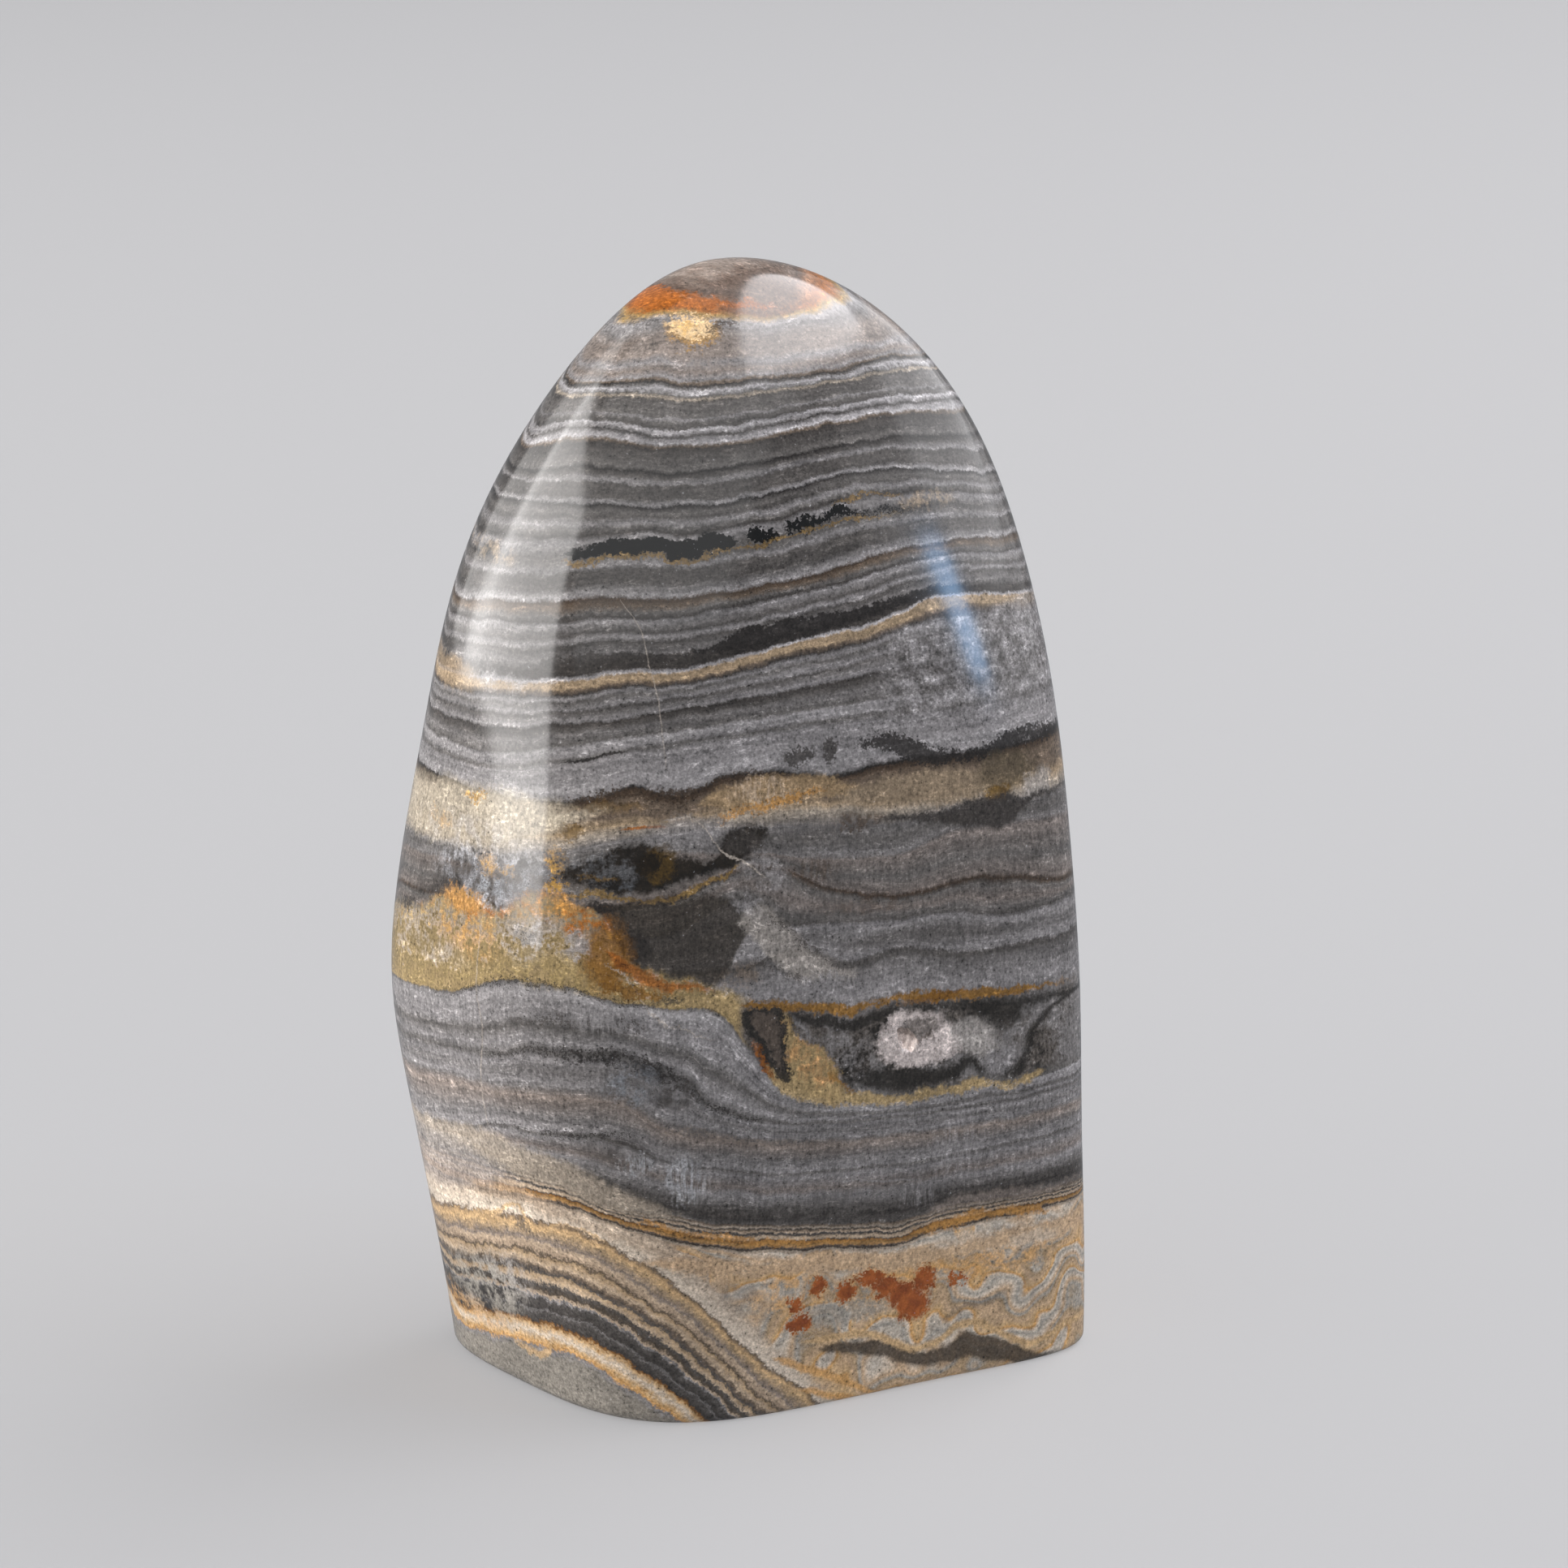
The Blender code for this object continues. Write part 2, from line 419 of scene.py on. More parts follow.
# Colours as they look on the front of the stone. The light that the polish reflects there is taken off, and the
# rest divided by how brightly the front is lit.
SHEEN = 0.012
LIGHT_LEVEL = 0.765
LEAST_TONE = 0.003
PALETTE = {
    "cap": (128, 117, 109), "cap dark": (84, 72, 65), "orange": (136, 86, 46), "orange deep": (138, 80, 38),
    "orange rim": (130, 98, 76), "cream": (190, 164, 128), "gold": (105, 86, 56), "gold low": (126, 100, 66),
    "gold rim": (104, 86, 60), "olive dark": (78, 70, 57),
    "white": (142, 139, 140), "pale": (126, 123, 123), "light": (114, 111, 111), "grey": (98, 95, 94),
    "mid": (86, 83, 81), "dusk": (74, 71, 69), "dark": (58, 55, 53), "night": (44, 42, 41), "black": (31, 28, 25),
    "brown": (92, 81, 71), "brown dark": (60, 51, 44), "brown light": (110, 101, 95), "mauve": (100, 93, 89),
    "tan low": (144, 124, 99), "tan": (134, 117, 96), "tan pale": (134, 124, 112), "tan orange": (134, 114, 88), "beige": (141, 124, 107),
    "ochre": (142, 118, 78), "ochre bright": (150, 116, 60), "ochre dark": (90, 70, 38), "ochre ring": (78, 62, 36),
    "ochre zone": (135, 117, 86), "yellow dull": (124, 108, 76), "orange zone": (152, 112, 64),
    "rust orange": (124, 76, 38), "amber": (136, 106, 72), "amber dark": (104, 73, 36),
    "cream low": (154, 137, 118), "cream bright": (158, 148, 132), "cream right": (121, 107, 90),
    "fibrous": (150, 133, 115), "fleck": (140, 142, 146), "fleck dark": (102, 104, 108), "pale blue": (138, 138, 142),
    "fan": (132, 132, 134), "light warm": (130, 124, 118), "grey white": (138, 133, 129), "vein": (150, 141, 132),
    "eye": (38, 35, 29), "body": (54, 50, 46), "pocket": (80, 75, 71), "pocket dark": (46, 44, 42),
    "yellow": (140, 121, 88), "yellow orange": (116, 85, 42), "finger": (78, 70, 64), "ring": (172, 162, 158),
    "peach": (148, 126, 102), "peach low": (164, 140, 114), "white warm": (174, 162, 148), "grey low": (138, 133, 125), "grey foot": (116, 111, 104),
    "cream orange": (168, 141, 106), "orange low": (168, 130, 84), "rust line": (112, 80, 48), "rust": (148, 80, 42),
    "rust deep": (106, 52, 26), "bed dark": (74, 66, 58),
}

# Beds that run through the whole stone: their height in millimetres along u, from the base up
HORIZONS = (
    (-6.0, ((-40, -6), (40, -6))),
    (17.0, ((-34, 17.5), (-22, 19), (-15, 20.5), (-10, 19.5), (-5, 17.9), (0, 16.6), (5, 15.7), (10, 14.9),
            (15, 14.2), (18, 14.8), (29, 15), (36, 15))),
    (20.0, ((-34, 20), (-22, 22.2), (-15, 22.7), (-12, 22), (-10, 21), (-8, 20.6), (-5, 20.2), (-3, 19.5),
            (0, 18.9), (5, 18), (10, 17.1), (13, 16.5), (16, 16.3), (20, 17), (25, 16.7), (29, 16.5), (36, 16))),
    (27.0, ((-34, 22.5), (-23.5, 25.2), (-20, 27), (-15, 27.7), (-12, 28), (-8, 27), (-5, 25.5), (0, 24.3),
            (5, 23), (10, 22.5), (20, 22), (36, 22))),
    (30.5, ((-34, 27), (-25, 29.8), (-20, 31), (-17, 31.5), (-12, 31.8), (-9, 31.3), (-5, 28.6), (0, 27.3),
            (4, 26.2), (10, 25.2), (20, 24.5), (36, 24))),
    (34.0, ((-34, 30.5), (-25, 33), (-20, 34.3), (-17, 35.5), (-13, 35.5), (-10, 35.8), (-7, 34.5), (-5, 33.5),
            (-3, 32.5), (-2, 30.8), (0, 29.5), (4, 28), (10, 27), (20, 26.3), (36, 26))),
    (38.0, ((-34, 36.3), (-30, 37), (-28, 37.6), (-25, 38.3), (-22, 40), (-20, 41.2), (-17, 41.5), (-14, 41.5),
            (-12, 41), (-10, 40.4), (-8, 40.1), (-5, 39.5), (-2, 39.2), (0, 38), (1, 36.5), (2, 35), (3, 33.5),
            (4, 32), (5, 31), (7, 30), (10, 29), (13, 28.2), (16, 28), (20, 28), (23, 28.3), (25, 27.6),
            (28, 27.8), (36, 27.6))),
    (40.0, ((-34, 38), (-28, 39), (-20, 42.4), (-12, 42.2), (-5, 41), (-1, 40), (1, 39.3), (3, 38.8), (5, 38.4),
            (8, 38), (11, 37.5), (13, 37.3), (15, 37.5), (17, 37.2), (20, 36.8), (23, 36.4), (27, 36),
            (31, 35.8), (36, 35.5))),
    (41.5, ((-34, 40), (-20, 43.6), (-5, 42.5), (0, 42), (6, 43.2), (9, 41.8), (11, 41.1), (15, 41.8), (18, 41),
            (20, 40.4), (25, 40.2), (36, 39.5))),
    (45.0, ((-34, 43), (-20, 45.5), (-5, 46), (1, 48.5), (3, 47.5), (5, 45.7), (10, 45.2), (15, 44.7), (20, 44.5),
            (25, 43.3), (30, 43.4), (36, 43))),
    (47.5, ((-34, 45), (-20, 47.5), (-5, 49), (2, 51), (5, 50.4), (8, 48.6), (10, 47.8), (13, 47), (17, 46.5),
            (20, 47), (25, 46.5), (30, 45), (36, 44.5))),
    (51.5, ((-34, 48), (-24, 50.2), (-15, 51), (-5, 53), (0, 52.6), (5, 51.8), (10, 50.8), (15, 50.4),
            (20, 51.7), (25, 51.5), (36, 50))),
    (55.2, ((-34, 51), (-24, 52), (-15, 53.8), (-9.5, 55), (-5, 55.2), (0, 55.5), (5, 55.4), (10, 55),
            (15, 54.2), (22, 54.3), (30, 54), (36, 54))),
    (59.0, ((-34, 56.3), (-22, 56.8), (-15, 57), (-12, 57.5), (-10, 57.9), (-8, 58.6), (-6, 57.9), (-4, 57.6),
            (-2, 58.3), (0, 59), (4, 59), (7, 58.3), (9, 57.8), (15, 58.3), (25, 58), (30, 58.5), (36, 59))),
    (62.0, ((-34, 58.8), (-24, 58.7), (-15, 60.4), (-13, 60.8), (-9.5, 61.5), (-8, 61.8), (0, 62.4), (8, 62.6),
            (15, 62.5), (36, 62))),
    (65.9, ((-34, 62.5), (-24, 62.6), (-15, 64.2), (-5, 65.4), (0, 65.9), (8, 66.4), (15, 67), (36, 66))),
    (68.5, ((-34, 63.5), (-26, 65.2), (-20, 66.2), (-17, 66.5), (-15, 66.9), (-12, 67.4), (-8, 68), (-5, 67.9),
            (0, 68.5), (5, 69.3), (8, 69.6), (12, 69.9), (15, 70.8), (18, 71.5), (24, 71), (27, 70), (36, 68))),
    (74.6, ((-34, 71.5), (-24, 72), (-20, 73), (-15, 73.7), (-10, 74.4), (-5, 74.2), (0, 74.6), (5, 74.9),
            (10, 75.5), (13, 76.1), (20, 76.4), (26, 75.3), (36, 74))),
    (78.5, ((-34, 75), (-22, 76.2), (-14, 77.6), (-10, 78.3), (-7, 78.7), (-5, 78.6), (-4, 78.1), (0, 78.5),
            (3, 78.8), (4.5, 78.6), (6, 79.2), (8, 79.4), (10, 79.8), (15, 79.8), (20, 79.5), (24, 78.4), (36, 76))),
    (81.6, ((-34, 79.5), (-20, 80.9), (-12, 81.8), (-5, 81.7), (0, 81.8), (7, 82.6), (12, 83.1), (20, 82),
            (24, 80.8), (36, 79))),
    (87.6, ((-34, 85), (-18, 85.9), (-15, 87.2), (-12, 88), (-9, 88), (-6, 87.5), (0, 87.6), (5, 88.1),
            (15, 88.5), (20, 87.8), (36, 86))),
    (91.2, ((-34, 88.5), (-14, 90.3), (-10, 91.1), (-6, 91.4), (-4, 91.1), (2.5, 91.2), (9, 91.3), (15, 91.7),
            (17, 91.3), (36, 90))),
    (96.9, ((-34, 93), (-10, 95.5), (-8, 96.3), (-5, 97.2), (-2, 97.0), (0, 96.9), (4, 96.4), (8, 96.8),
            (12, 96.2), (15, 95.5), (36, 93))),
    (103.0, ((-34, 103), (36, 103))),
)

# Tones of the beds by nominal height
LOW_BEDS = (
    (-6, "grey"), (4, "light"), (10, "tan"), (15, "peach"), (16.7, "beige"), (16.95, "tan pale"), (17.1, "brown dark"),
    (17.35, "dusk"), (17.55, "amber"), (17.8, "gold low"), (18.1, "rust line"), (18.25, "dark"), (18.5, "cream low"),
    (18.75, "cream low"), (18.9, "dark"), (19.15, "dusk"), (19.3, "cream low"), (19.5, "brown"), (19.65, "dark"),
    (19.85, "tan pale"), (20.1, "brown"), (20.35, "dusk"), (21.4, "dark"), (22.4, "dusk"), (23.2, "grey"), (24, "light"),
    (24.8, "mauve"), (26.2, "light"), (26.9, "mid"), (27.15, "light"), (28.4, "grey"), (30.1, "brown light"),
)
GREY_BEDS = (
    (30.1, "brown light"), (30.9, "grey"), (31.3, "light"), (32.4, "grey"), (33.3, "light"),
    (34.0, "mid"), (34.6, "light"), (35.5, "mid"), (36.1, "light"), (37, "light"), (37.7, "pale"), (38, "mid"),
    (40, "grey"), (40.4, "light"), (41.2, "grey"), (41.6, "dusk"), (42.1, "light"), (43.4, "grey"), (44.6, "light"),
    (45, "dusk"), (45.5, "mid"), (46.2, "mauve"), (47.1, "mid"), (47.6, "brown dark"), (48, "mauve"), (49.3, "mid"),
    (51.2, "mauve"), (51.6, "grey"), (53, "mid"), (54, "grey"), (55.2, "tan pale"),
)
MIDDLE_BEDS = (
    (55.2, "tan pale"), (55.9, "tan"), (56.8, "brown"), (57.9, "brown"), (58.75, "brown dark"), (59.05, "night"),
    (59.35, "light"), (59.9, "pale"), (60.6, "light"), (61.7, "light"), (62.1, "mid"), (62.5, "light"), (63.1, "pale"),
    (63.4, "mid"), (64.2, "grey"), (64.7, "dusk"), (65.2, "dark"), (65.5, "light"), (65.9, "grey"), (66.3, "dusk"),
    (66.6, "light"), (67.1, "mid"), (67.4, "light"), (67.7, "dark"), (68.0, "brown"), (68.2, "tan"), (68.65, "tan"),
    (68.85, "white"), (69.1, "dark"), (69.7, "dark"), (70.4, "grey"), (71.2, "dusk"),
)
UPPER_BEDS = (
    (71.2, "dusk"), (71.6, "light"), (72.0, "dusk"), (72.5, "grey"), (72.9, "light"), (73.2, "dark"), (73.6, "mid"),
    (74.1, "brown"), (74.5, "brown dark"), (74.8, "pale"), (75.3, "grey"), (75.7, "dusk"), (76.8, "dusk"),
    (77.2, "light"), (77.7, "mid"), (78.4, "dusk"), (79.2, "light"), (79.6, "dark"), (80.0, "mid"), (80.3, "light"),
    (80.7, "dusk"), (81.1, "mid"), (81.5, "night"), (81.75, "pale"), (82.1, "dusk"), (83.2, "dusk"), (83.45, "light"),
    (83.9, "dusk"), (84.3, "night"), (84.6, "mid"), (85.3, "dusk"), (86.1, "dark"),
)
TOP_BEDS = (
    (86.1, "dark"), (86.35, "brown"), (86.6, "white"), (86.95, "light"), (87.2, "dark"), (87.45, "light"),
    (87.7, "white"), (87.9, "dusk"), (88.3, "mid"), (88.55, "light"), (88.7, "mid"), (89.9, "dusk"), (90.1, "tan pale"),
    (90.3, "mid"), (90.7, "white"), (90.95, "mid"), (91.15, "night"), (91.4, "brown"), (91.6, "light"),
    (92.2, "brown light"), (92.8, "light"), (93.4, "brown light"), (94.6, "brown light"), (95.4, "grey"), (95.9, "pale"),
    (96.3, "ochre"), (96.65, "orange"), (97.0, "orange"), (97.5, "orange rim"), (97.9, "cap dark"), (99.0, "cap"),
    (100.5, "cap"),
)

class Ground:
    """Where each point of the stone lies among its beds."""

    def __init__(self):
        coordinates = add_node("ShaderNodeTexCoord")
        split = add_node("ShaderNodeSeparateXYZ")
        TREE.links.new(coordinates.outputs["Object"], split.inputs[0])
        x, y, z = (Field(socket) * 1000 for socket in split.outputs)
        u = x * math.cos(STRIKE) - y * math.sin(STRIKE)
        w = x * math.sin(STRIKE) + y * math.cos(STRIKE)
        self.back = rise(w - u * 0.2, -1, 9)
        fold = noise(place(u, w, z), 1 / 26, 1)
        self.u = u + self.back * ((fold[0] - 0.5) * 34 + 3)
        self.w = w
        self.z = z
        self.v = z + self.back * ((fold[1] - 0.5) * 22 - 1)
        self.place = place(self.u, w, self.v)
        ripple = [part - 0.5 for part in noise(self.place, 0.42, 1.5)]
        fray = [part - 0.5 for part in noise(self.place, 1.5, 1.5, 0.6)]
        crumb = [part - 0.5 for part in noise(self.place, 4.6, 1.0)]
        self.calm = self.v + ripple[0] * 0.7 + fray[0] * 0.25 + crumb[0] * 0.35
        self.wavy = self.v + ripple[1] * 1.2 + fray[1] * 1.0 + crumb[1] * 0.7
        self.ragged = self.v + ripple[0] * 0.7 + fray[2] * 1.5 + crumb[2] * 1.6
        self.along = self.u + ripple[2] * 1.2 + fray[0] * 1.2 + crumb[0] * 0.9
        self.dust = crumb[1]

    def follow(self, laminae):
        """Lets the edges of the markings step a little with the laminae. Every marking reads these fields, so
        the renderer works them out one by one and never holds them all at once."""
        step = laminae - 0.5
        self.u = self.u + step * 0.3
        self.v = self.v + step * 0.15
        self.calm = self.calm + step * 0.15
        self.wavy = self.wavy + step * 0.3
        self.ragged = self.ragged + step * 0.5
        self.along = self.along + step * 0.3
        self.spots = {level: place(self.along, getattr(self, level), 0) for level in ("wavy", "ragged")}


def nominal_height(ground):
    """Height put level along the beds: a point on a horizon gets that horizon's nominal height."""
    level = HORIZONS[0][0]
    total = None
    below = curve(ground.u, HORIZONS[0][1])
    for upper_level, line in HORIZONS[1:]:
        above = curve(ground.u, line)
        share = maths("DIVIDE", ground.calm - below, above - below, clamp=True)
        step = share * (upper_level - level)
        total = step + level if total is None else total + step
        level, below = upper_level, above
    return total


def paint_beds(height):
    colour = bands(height, LOW_BEDS)
    for stops in (GREY_BEDS, MIDDLE_BEDS, UPPER_BEDS, TOP_BEDS):
        edge = stops[0][0]
        colour = blend(maths("GREATER_THAN", height, edge), colour, bands(height, stops))
    return colour


# Markings, painted in order. Each is a colour, how frayed its edge is, its softness in millimetres (or, for an
# oval, as a share of its size), its strength, the texture that breaks it up, and a shape: either the centre and the
# half sizes of an oval, or the (u, v, half thickness) of points along a streak.
TOP_MARKS = (
    ("brown light", "wavy", 0.9, 0.6, "mottle", ((-1.5, 93.4), (3.6, 1.2))),
    ("cap dark", "ragged", 0.9, 0.7, "mottle", ((-2, 98.6), (7, 1.2))),
    ("cap dark", "wavy", 0.8, 0.9, "", ((3.2, 97.6), (4.2, 1.7))),
    ("orange deep", "wavy", 0.5, 0.8, "", ((-13, 95.2, -0.2), (-10, 96.0, 0.5), (-8, 96.9, 0.8), (-5, 97.4, 0.7),
                                          (-2, 97.3, 0.4), (0, 97.1, 0.2), (3, 96.9, 0.05), (5, 96.8, -0.2))),
    ("dusk", "wavy", 0.3, 0.6, "", ((-9.5, 95.5, -0.1), (-8, 95.65, 0.15), (-6, 95.9, 0.15), (-4, 96.2, 0.1),
                                    (-2, 96.5, -0.1))),
    ("gold low", "ragged", 0.4, 0.95, "", ((-3.0, 95.15), (2.3, 1.15))),
    ("cream", "ragged", 0.5, 0.95, "", ((-3.1, 95.45), (1.9, 0.85))),
    ("ochre bright", "ragged", 0.7, 0.7, "mottle", ((-3.4, 95.4), (1.2, 0.6))),
    ("brown dark", "ragged", 0.3, 0.8, "", ((-2.4, 95.7, -0.1), (-1.5, 95.4, 0.2), (-0.5, 95.6, 0.25), (0.4, 95.7, 0.2),
                                           (1.5, 95, -0.1))),
    ("black", "wavy", 0.2, 1.0, "", ((-15, 77.4, -0.1), (-13, 77.8, 0.3), (-10.5, 78.3, 0.65), (-8, 78.5, 0.75),
                                    (-5.5, 78.6, 0.75), (-4.6, 78.1, 0.8), (-3, 78.2, 0.6), (-1.2, 78.6, 0.65),
                                    (0.2, 78.6, 0.5), (1.2, 78.7, -0.1))),
    ("black", "ragged", 0.2, 1.0, "", ((1.5, 78.8, -0.1), (2.4, 78.95, 0.6), (3.2, 78.8, 0.55), (4.3, 78.6, 0.25),
                                      (4.9, 78.6, -0.1))),
    ("black", "ragged", 0.2, 1.0, "", ((4.8, 79.2, -0.1), (5.6, 79.3, 0.45), (7, 79.35, 0.55), (8.4, 79.6, 0.4),
                                      (9.4, 80.15, 0.55), (10.4, 80.1, 0.4), (10.9, 79.75, 0.15), (16, 79.55, 0.1),
                                      (17.5, 79.4, -0.1))),
    ("gold", "wavy", 0.25, 0.85, "", ((-14.5, 76.9, -0.1), (-13, 77.0, 0.25), (-10, 77.5, 0.15), (-6, 77.65, 0.15),
                                     (-4.4, 77.2, 0.2), (-1, 77.8, 0.15), (0.8, 78.05, 0.1), (3, 78.0, 0.15),
                                     (6, 78.6, 0.12), (9, 79.15, 0.12), (12, 79.25, 0.1), (17, 79.3, -0.1))),
    ("gold rim", "wavy", 0.2, 0.9, "", ((8.4, 80.3, -0.1), (10, 80.85, 0.1), (12.5, 81.15, 0.12), (14.5, 80.9, 0.1),
                                       (15.8, 80.5, -0.1))),
    ("grey", "wavy", 0.3, 0.8, "", ((10.6, 80.2, -0.1), (12, 80.5, 0.4), (14, 80.45, 0.35), (15.6, 80.1, -0.1))),
    ("tan", "wavy", 0.8, 0.6, "mottle", ((17.5, 80.0), (2.2, 0.8))),
    ("black", "ragged", 0.3, 0.85, "", ((-22.8, 75.7, -0.1), (-21, 76.6, 0.3), (-20.3, 77.1, 0.25), (-19.4, 77.7, -0.1))),
    ("tan", "wavy", 0.8, 0.6, "mottle", ((-20.2, 76.6), (1.6, 0.9))),
    ("brown dark", "ragged", 0.3, 0.7, "dots", ((-16, 73.4, -0.1), (-10, 74.0, 0.3), (-5, 74.0, 0.3), (0, 74.35, 0.2),
                                               (4.5, 74.5, 0.3), (10, 75.4, 0.2), (14, 76.2, -0.1))),
    ("night", "wavy", 0.3, 0.95, "", ((-6, 69.3, -0.2), (-3, 69.6, 0.2), (0, 69.95, 0.55), (2, 70.5, 0.95),
                                     (5, 70.95, 0.9), (8, 71.05, 0.7), (12, 71.3, 0.6), (15, 71.95, 0.5),
                                     (18, 72.5, 0.4), (20, 72.6, 0.15), (23, 72.2, -0.2))),
    ("dark", "wavy", 0.3, 0.85, "", ((-17, 68.4, -0.2), (-14, 68.9, 0.6), (-10, 69.2, 0.55), (-6, 69.3, 0.5),
                                    (-3, 69.4, 0.3), (0, 69.5, -0.1))),
    ("dark", "wavy", 0.7, 0.8, "", ((-26.5, 67, -0.2), (-25, 67.7, 0.4), (-23.4, 68.5, 0.3), (-22.4, 69, -0.2))),
    ("light", "wavy", 0.9, 0.75, "mottle", ((-19.5, 66.4), (2.6, 1.0))),
    ("tan", "wavy", 0.8, 0.7, "", ((-24.2, 65.9), (2.2, 1.3))),
    ("night", "calm", 0.12, 0.9, "", ((-15.5, 60.2, -0.1), (-13, 60.75, 0.1), (-11, 61.2, 0.12), (-9.2, 61.6, 0.1),
                                     (-8, 61.8, -0.1))),
)
MIDDLE_MARKS = (
    ("dark", "ragged", 0.5, 0.85, "", ((6.1, 60.0), (1.3, 0.75))),
    ("dark", "ragged", 0.5, 0.85, "", ((8.9, 60.2), (0.7, 1.0))),
    ("night", "ragged", 0.4, 0.9, "", ((10.3, 60.0, -0.2), (12.5, 60.3, 0.4), (14.5, 60.0, 0.8), (16, 59.3, 1.0),
                                      (17.5, 58.5, 0.8), (20, 58.0, 0.45), (22, 57.9, 0.5), (25, 58.7, 0.7),
                                      (27, 58.8, 0.7), (29, 58.5, 0.5), (32, 58, 0.3), (36, 58, 0))),
    ("brown dark", "ragged", 0.5, 0.9, "", ((-16, 56.9, -0.2), (-12, 57.6, 0.25), (-9, 58.1, 0.3), (-6, 57.9, 0.3),
                                           (-4, 57.7, 0.55), (-2, 58.3, 0.3), (0, 58.9, 0.2), (3, 59.1, 0.1),
                                           (5, 58.8, -0.2))),
    ("tan orange", "wavy", 0.7, 0.8, "", ((-3, 57.2, -0.3), (-0.5, 57.3, 0.9), (2, 57.3, 1.2), (5, 57.3, 1.1),
                                         (7, 57.4, 0.9), (9, 57.0, 0.8), (11, 56.6, 0.4), (12.5, 56.4, -0.4))),
    ("fibrous", "ragged", 0.7, 0.85, "fibre", ((3.0, 57.6), (2.6, 1.0))),
    ("orange zone", "ragged", 0.5, 0.8, "", ((-1.2, 55.5, -0.1), (0, 55.8, 0.2), (2, 56.15, 0.2), (4, 56.3, 0.3),
                                            (6, 56.7, 0.3), (8, 57, 0.1), (9.5, 57.1, -0.2))),
    ("ochre dark", "wavy", 0.8, 0.5, "", ((-15, 56.5, -0.2), (-11, 56.9, 0.4), (-9, 57, 0.4), (-6.5, 56.9, -0.2))),
    ("cream bright", "wavy", 1.8, 0.85, "", ((-36, 52.6, 2.0), (-28, 53.4, 2.2), (-24, 54.3, 2.4), (-20, 54.9, 2.3),
                                            (-16, 55.6, 1.4), (-13, 56.2, 0.4), (-10, 56.8, -0.4), (-7, 57, -1))),
    ("grey white", "wavy", 0.9, 0.6, "mottle", ((-21.5, 52.8), (5.5, 1.8))),
    ("ochre bright", "ragged", 0.6, 0.75, "", ((-22.1, 56.1), (0.7, 0.35))),
    ("ochre bright", "ragged", 0.6, 0.6, "", ((-21.5, 56.6), (0.5, 0.25))),
    ("ochre bright", "ragged", 0.8, 0.5, "mottle", ((-25.0, 53.3), (1.0, 0.6))),
    ("ochre dark", "ragged", 0.8, 0.6, "", ((-13.3, 54.8), (1.0, 0.6))),
    ("cream right", "wavy", 0.9, 0.9, "", ((8.5, 56.0, -0.3), (12, 56.0, 0.9), (16, 55.8, 1.3), (20, 55.5, 1.4),
                                          (22, 55.3, 1.1), (23.5, 55.3, 0.2), (24.5, 55.3, -0.6))),
    ("olive dark", "wavy", 0.8, 0.7, "", ((24.6, 56.0), (2.6, 1.7))),
    ("ochre dark", "wavy", 0.8, 0.85, "", ((23.9, 54.2), (1.1, 0.7))),
    ("grey white", "wavy", 0.8, 0.7, "", ((27.6, 54.3), (1.1, 1.3))),
    ("dark", "wavy", 0.7, 0.95, "", ((12, 53.6, -0.3), (14, 53.5, 0.3), (17, 53.2, 0.4), (19, 53.0, 0.7),
                                    (22, 52.8, 1.2), (24.5, 52.6, 1.4), (26.5, 53, 0.5), (28, 53.2, 0.3),
                                    (32, 53, 0.1), (36, 53, 0))),
    ("brown dark", "ragged", 0.8, 0.8, "mottle", ((11.5, 53.9), (2.2, 1.0))),
    ("dusk", "ragged", 0.8, 0.7, "mottle", ((7.2, 53.6), (2.0, 1.1))),
    ("orange", "calm", 0.15, 0.9, "", ((-9.8, 55.0, -0.1), (-8, 55.3, 0.12), (-6, 55.4, 0.12), (-4.8, 55.2, -0.1))),
    ("light", "wavy", 0.2, 0.55, "", ((5, 52.2, -0.1), (8, 51.8, 0.1), (11, 51.1, 0.12), (14, 50.7, 0.12),
                                     (17, 50.9, 0.1), (19.5, 52, -0.1))),
)
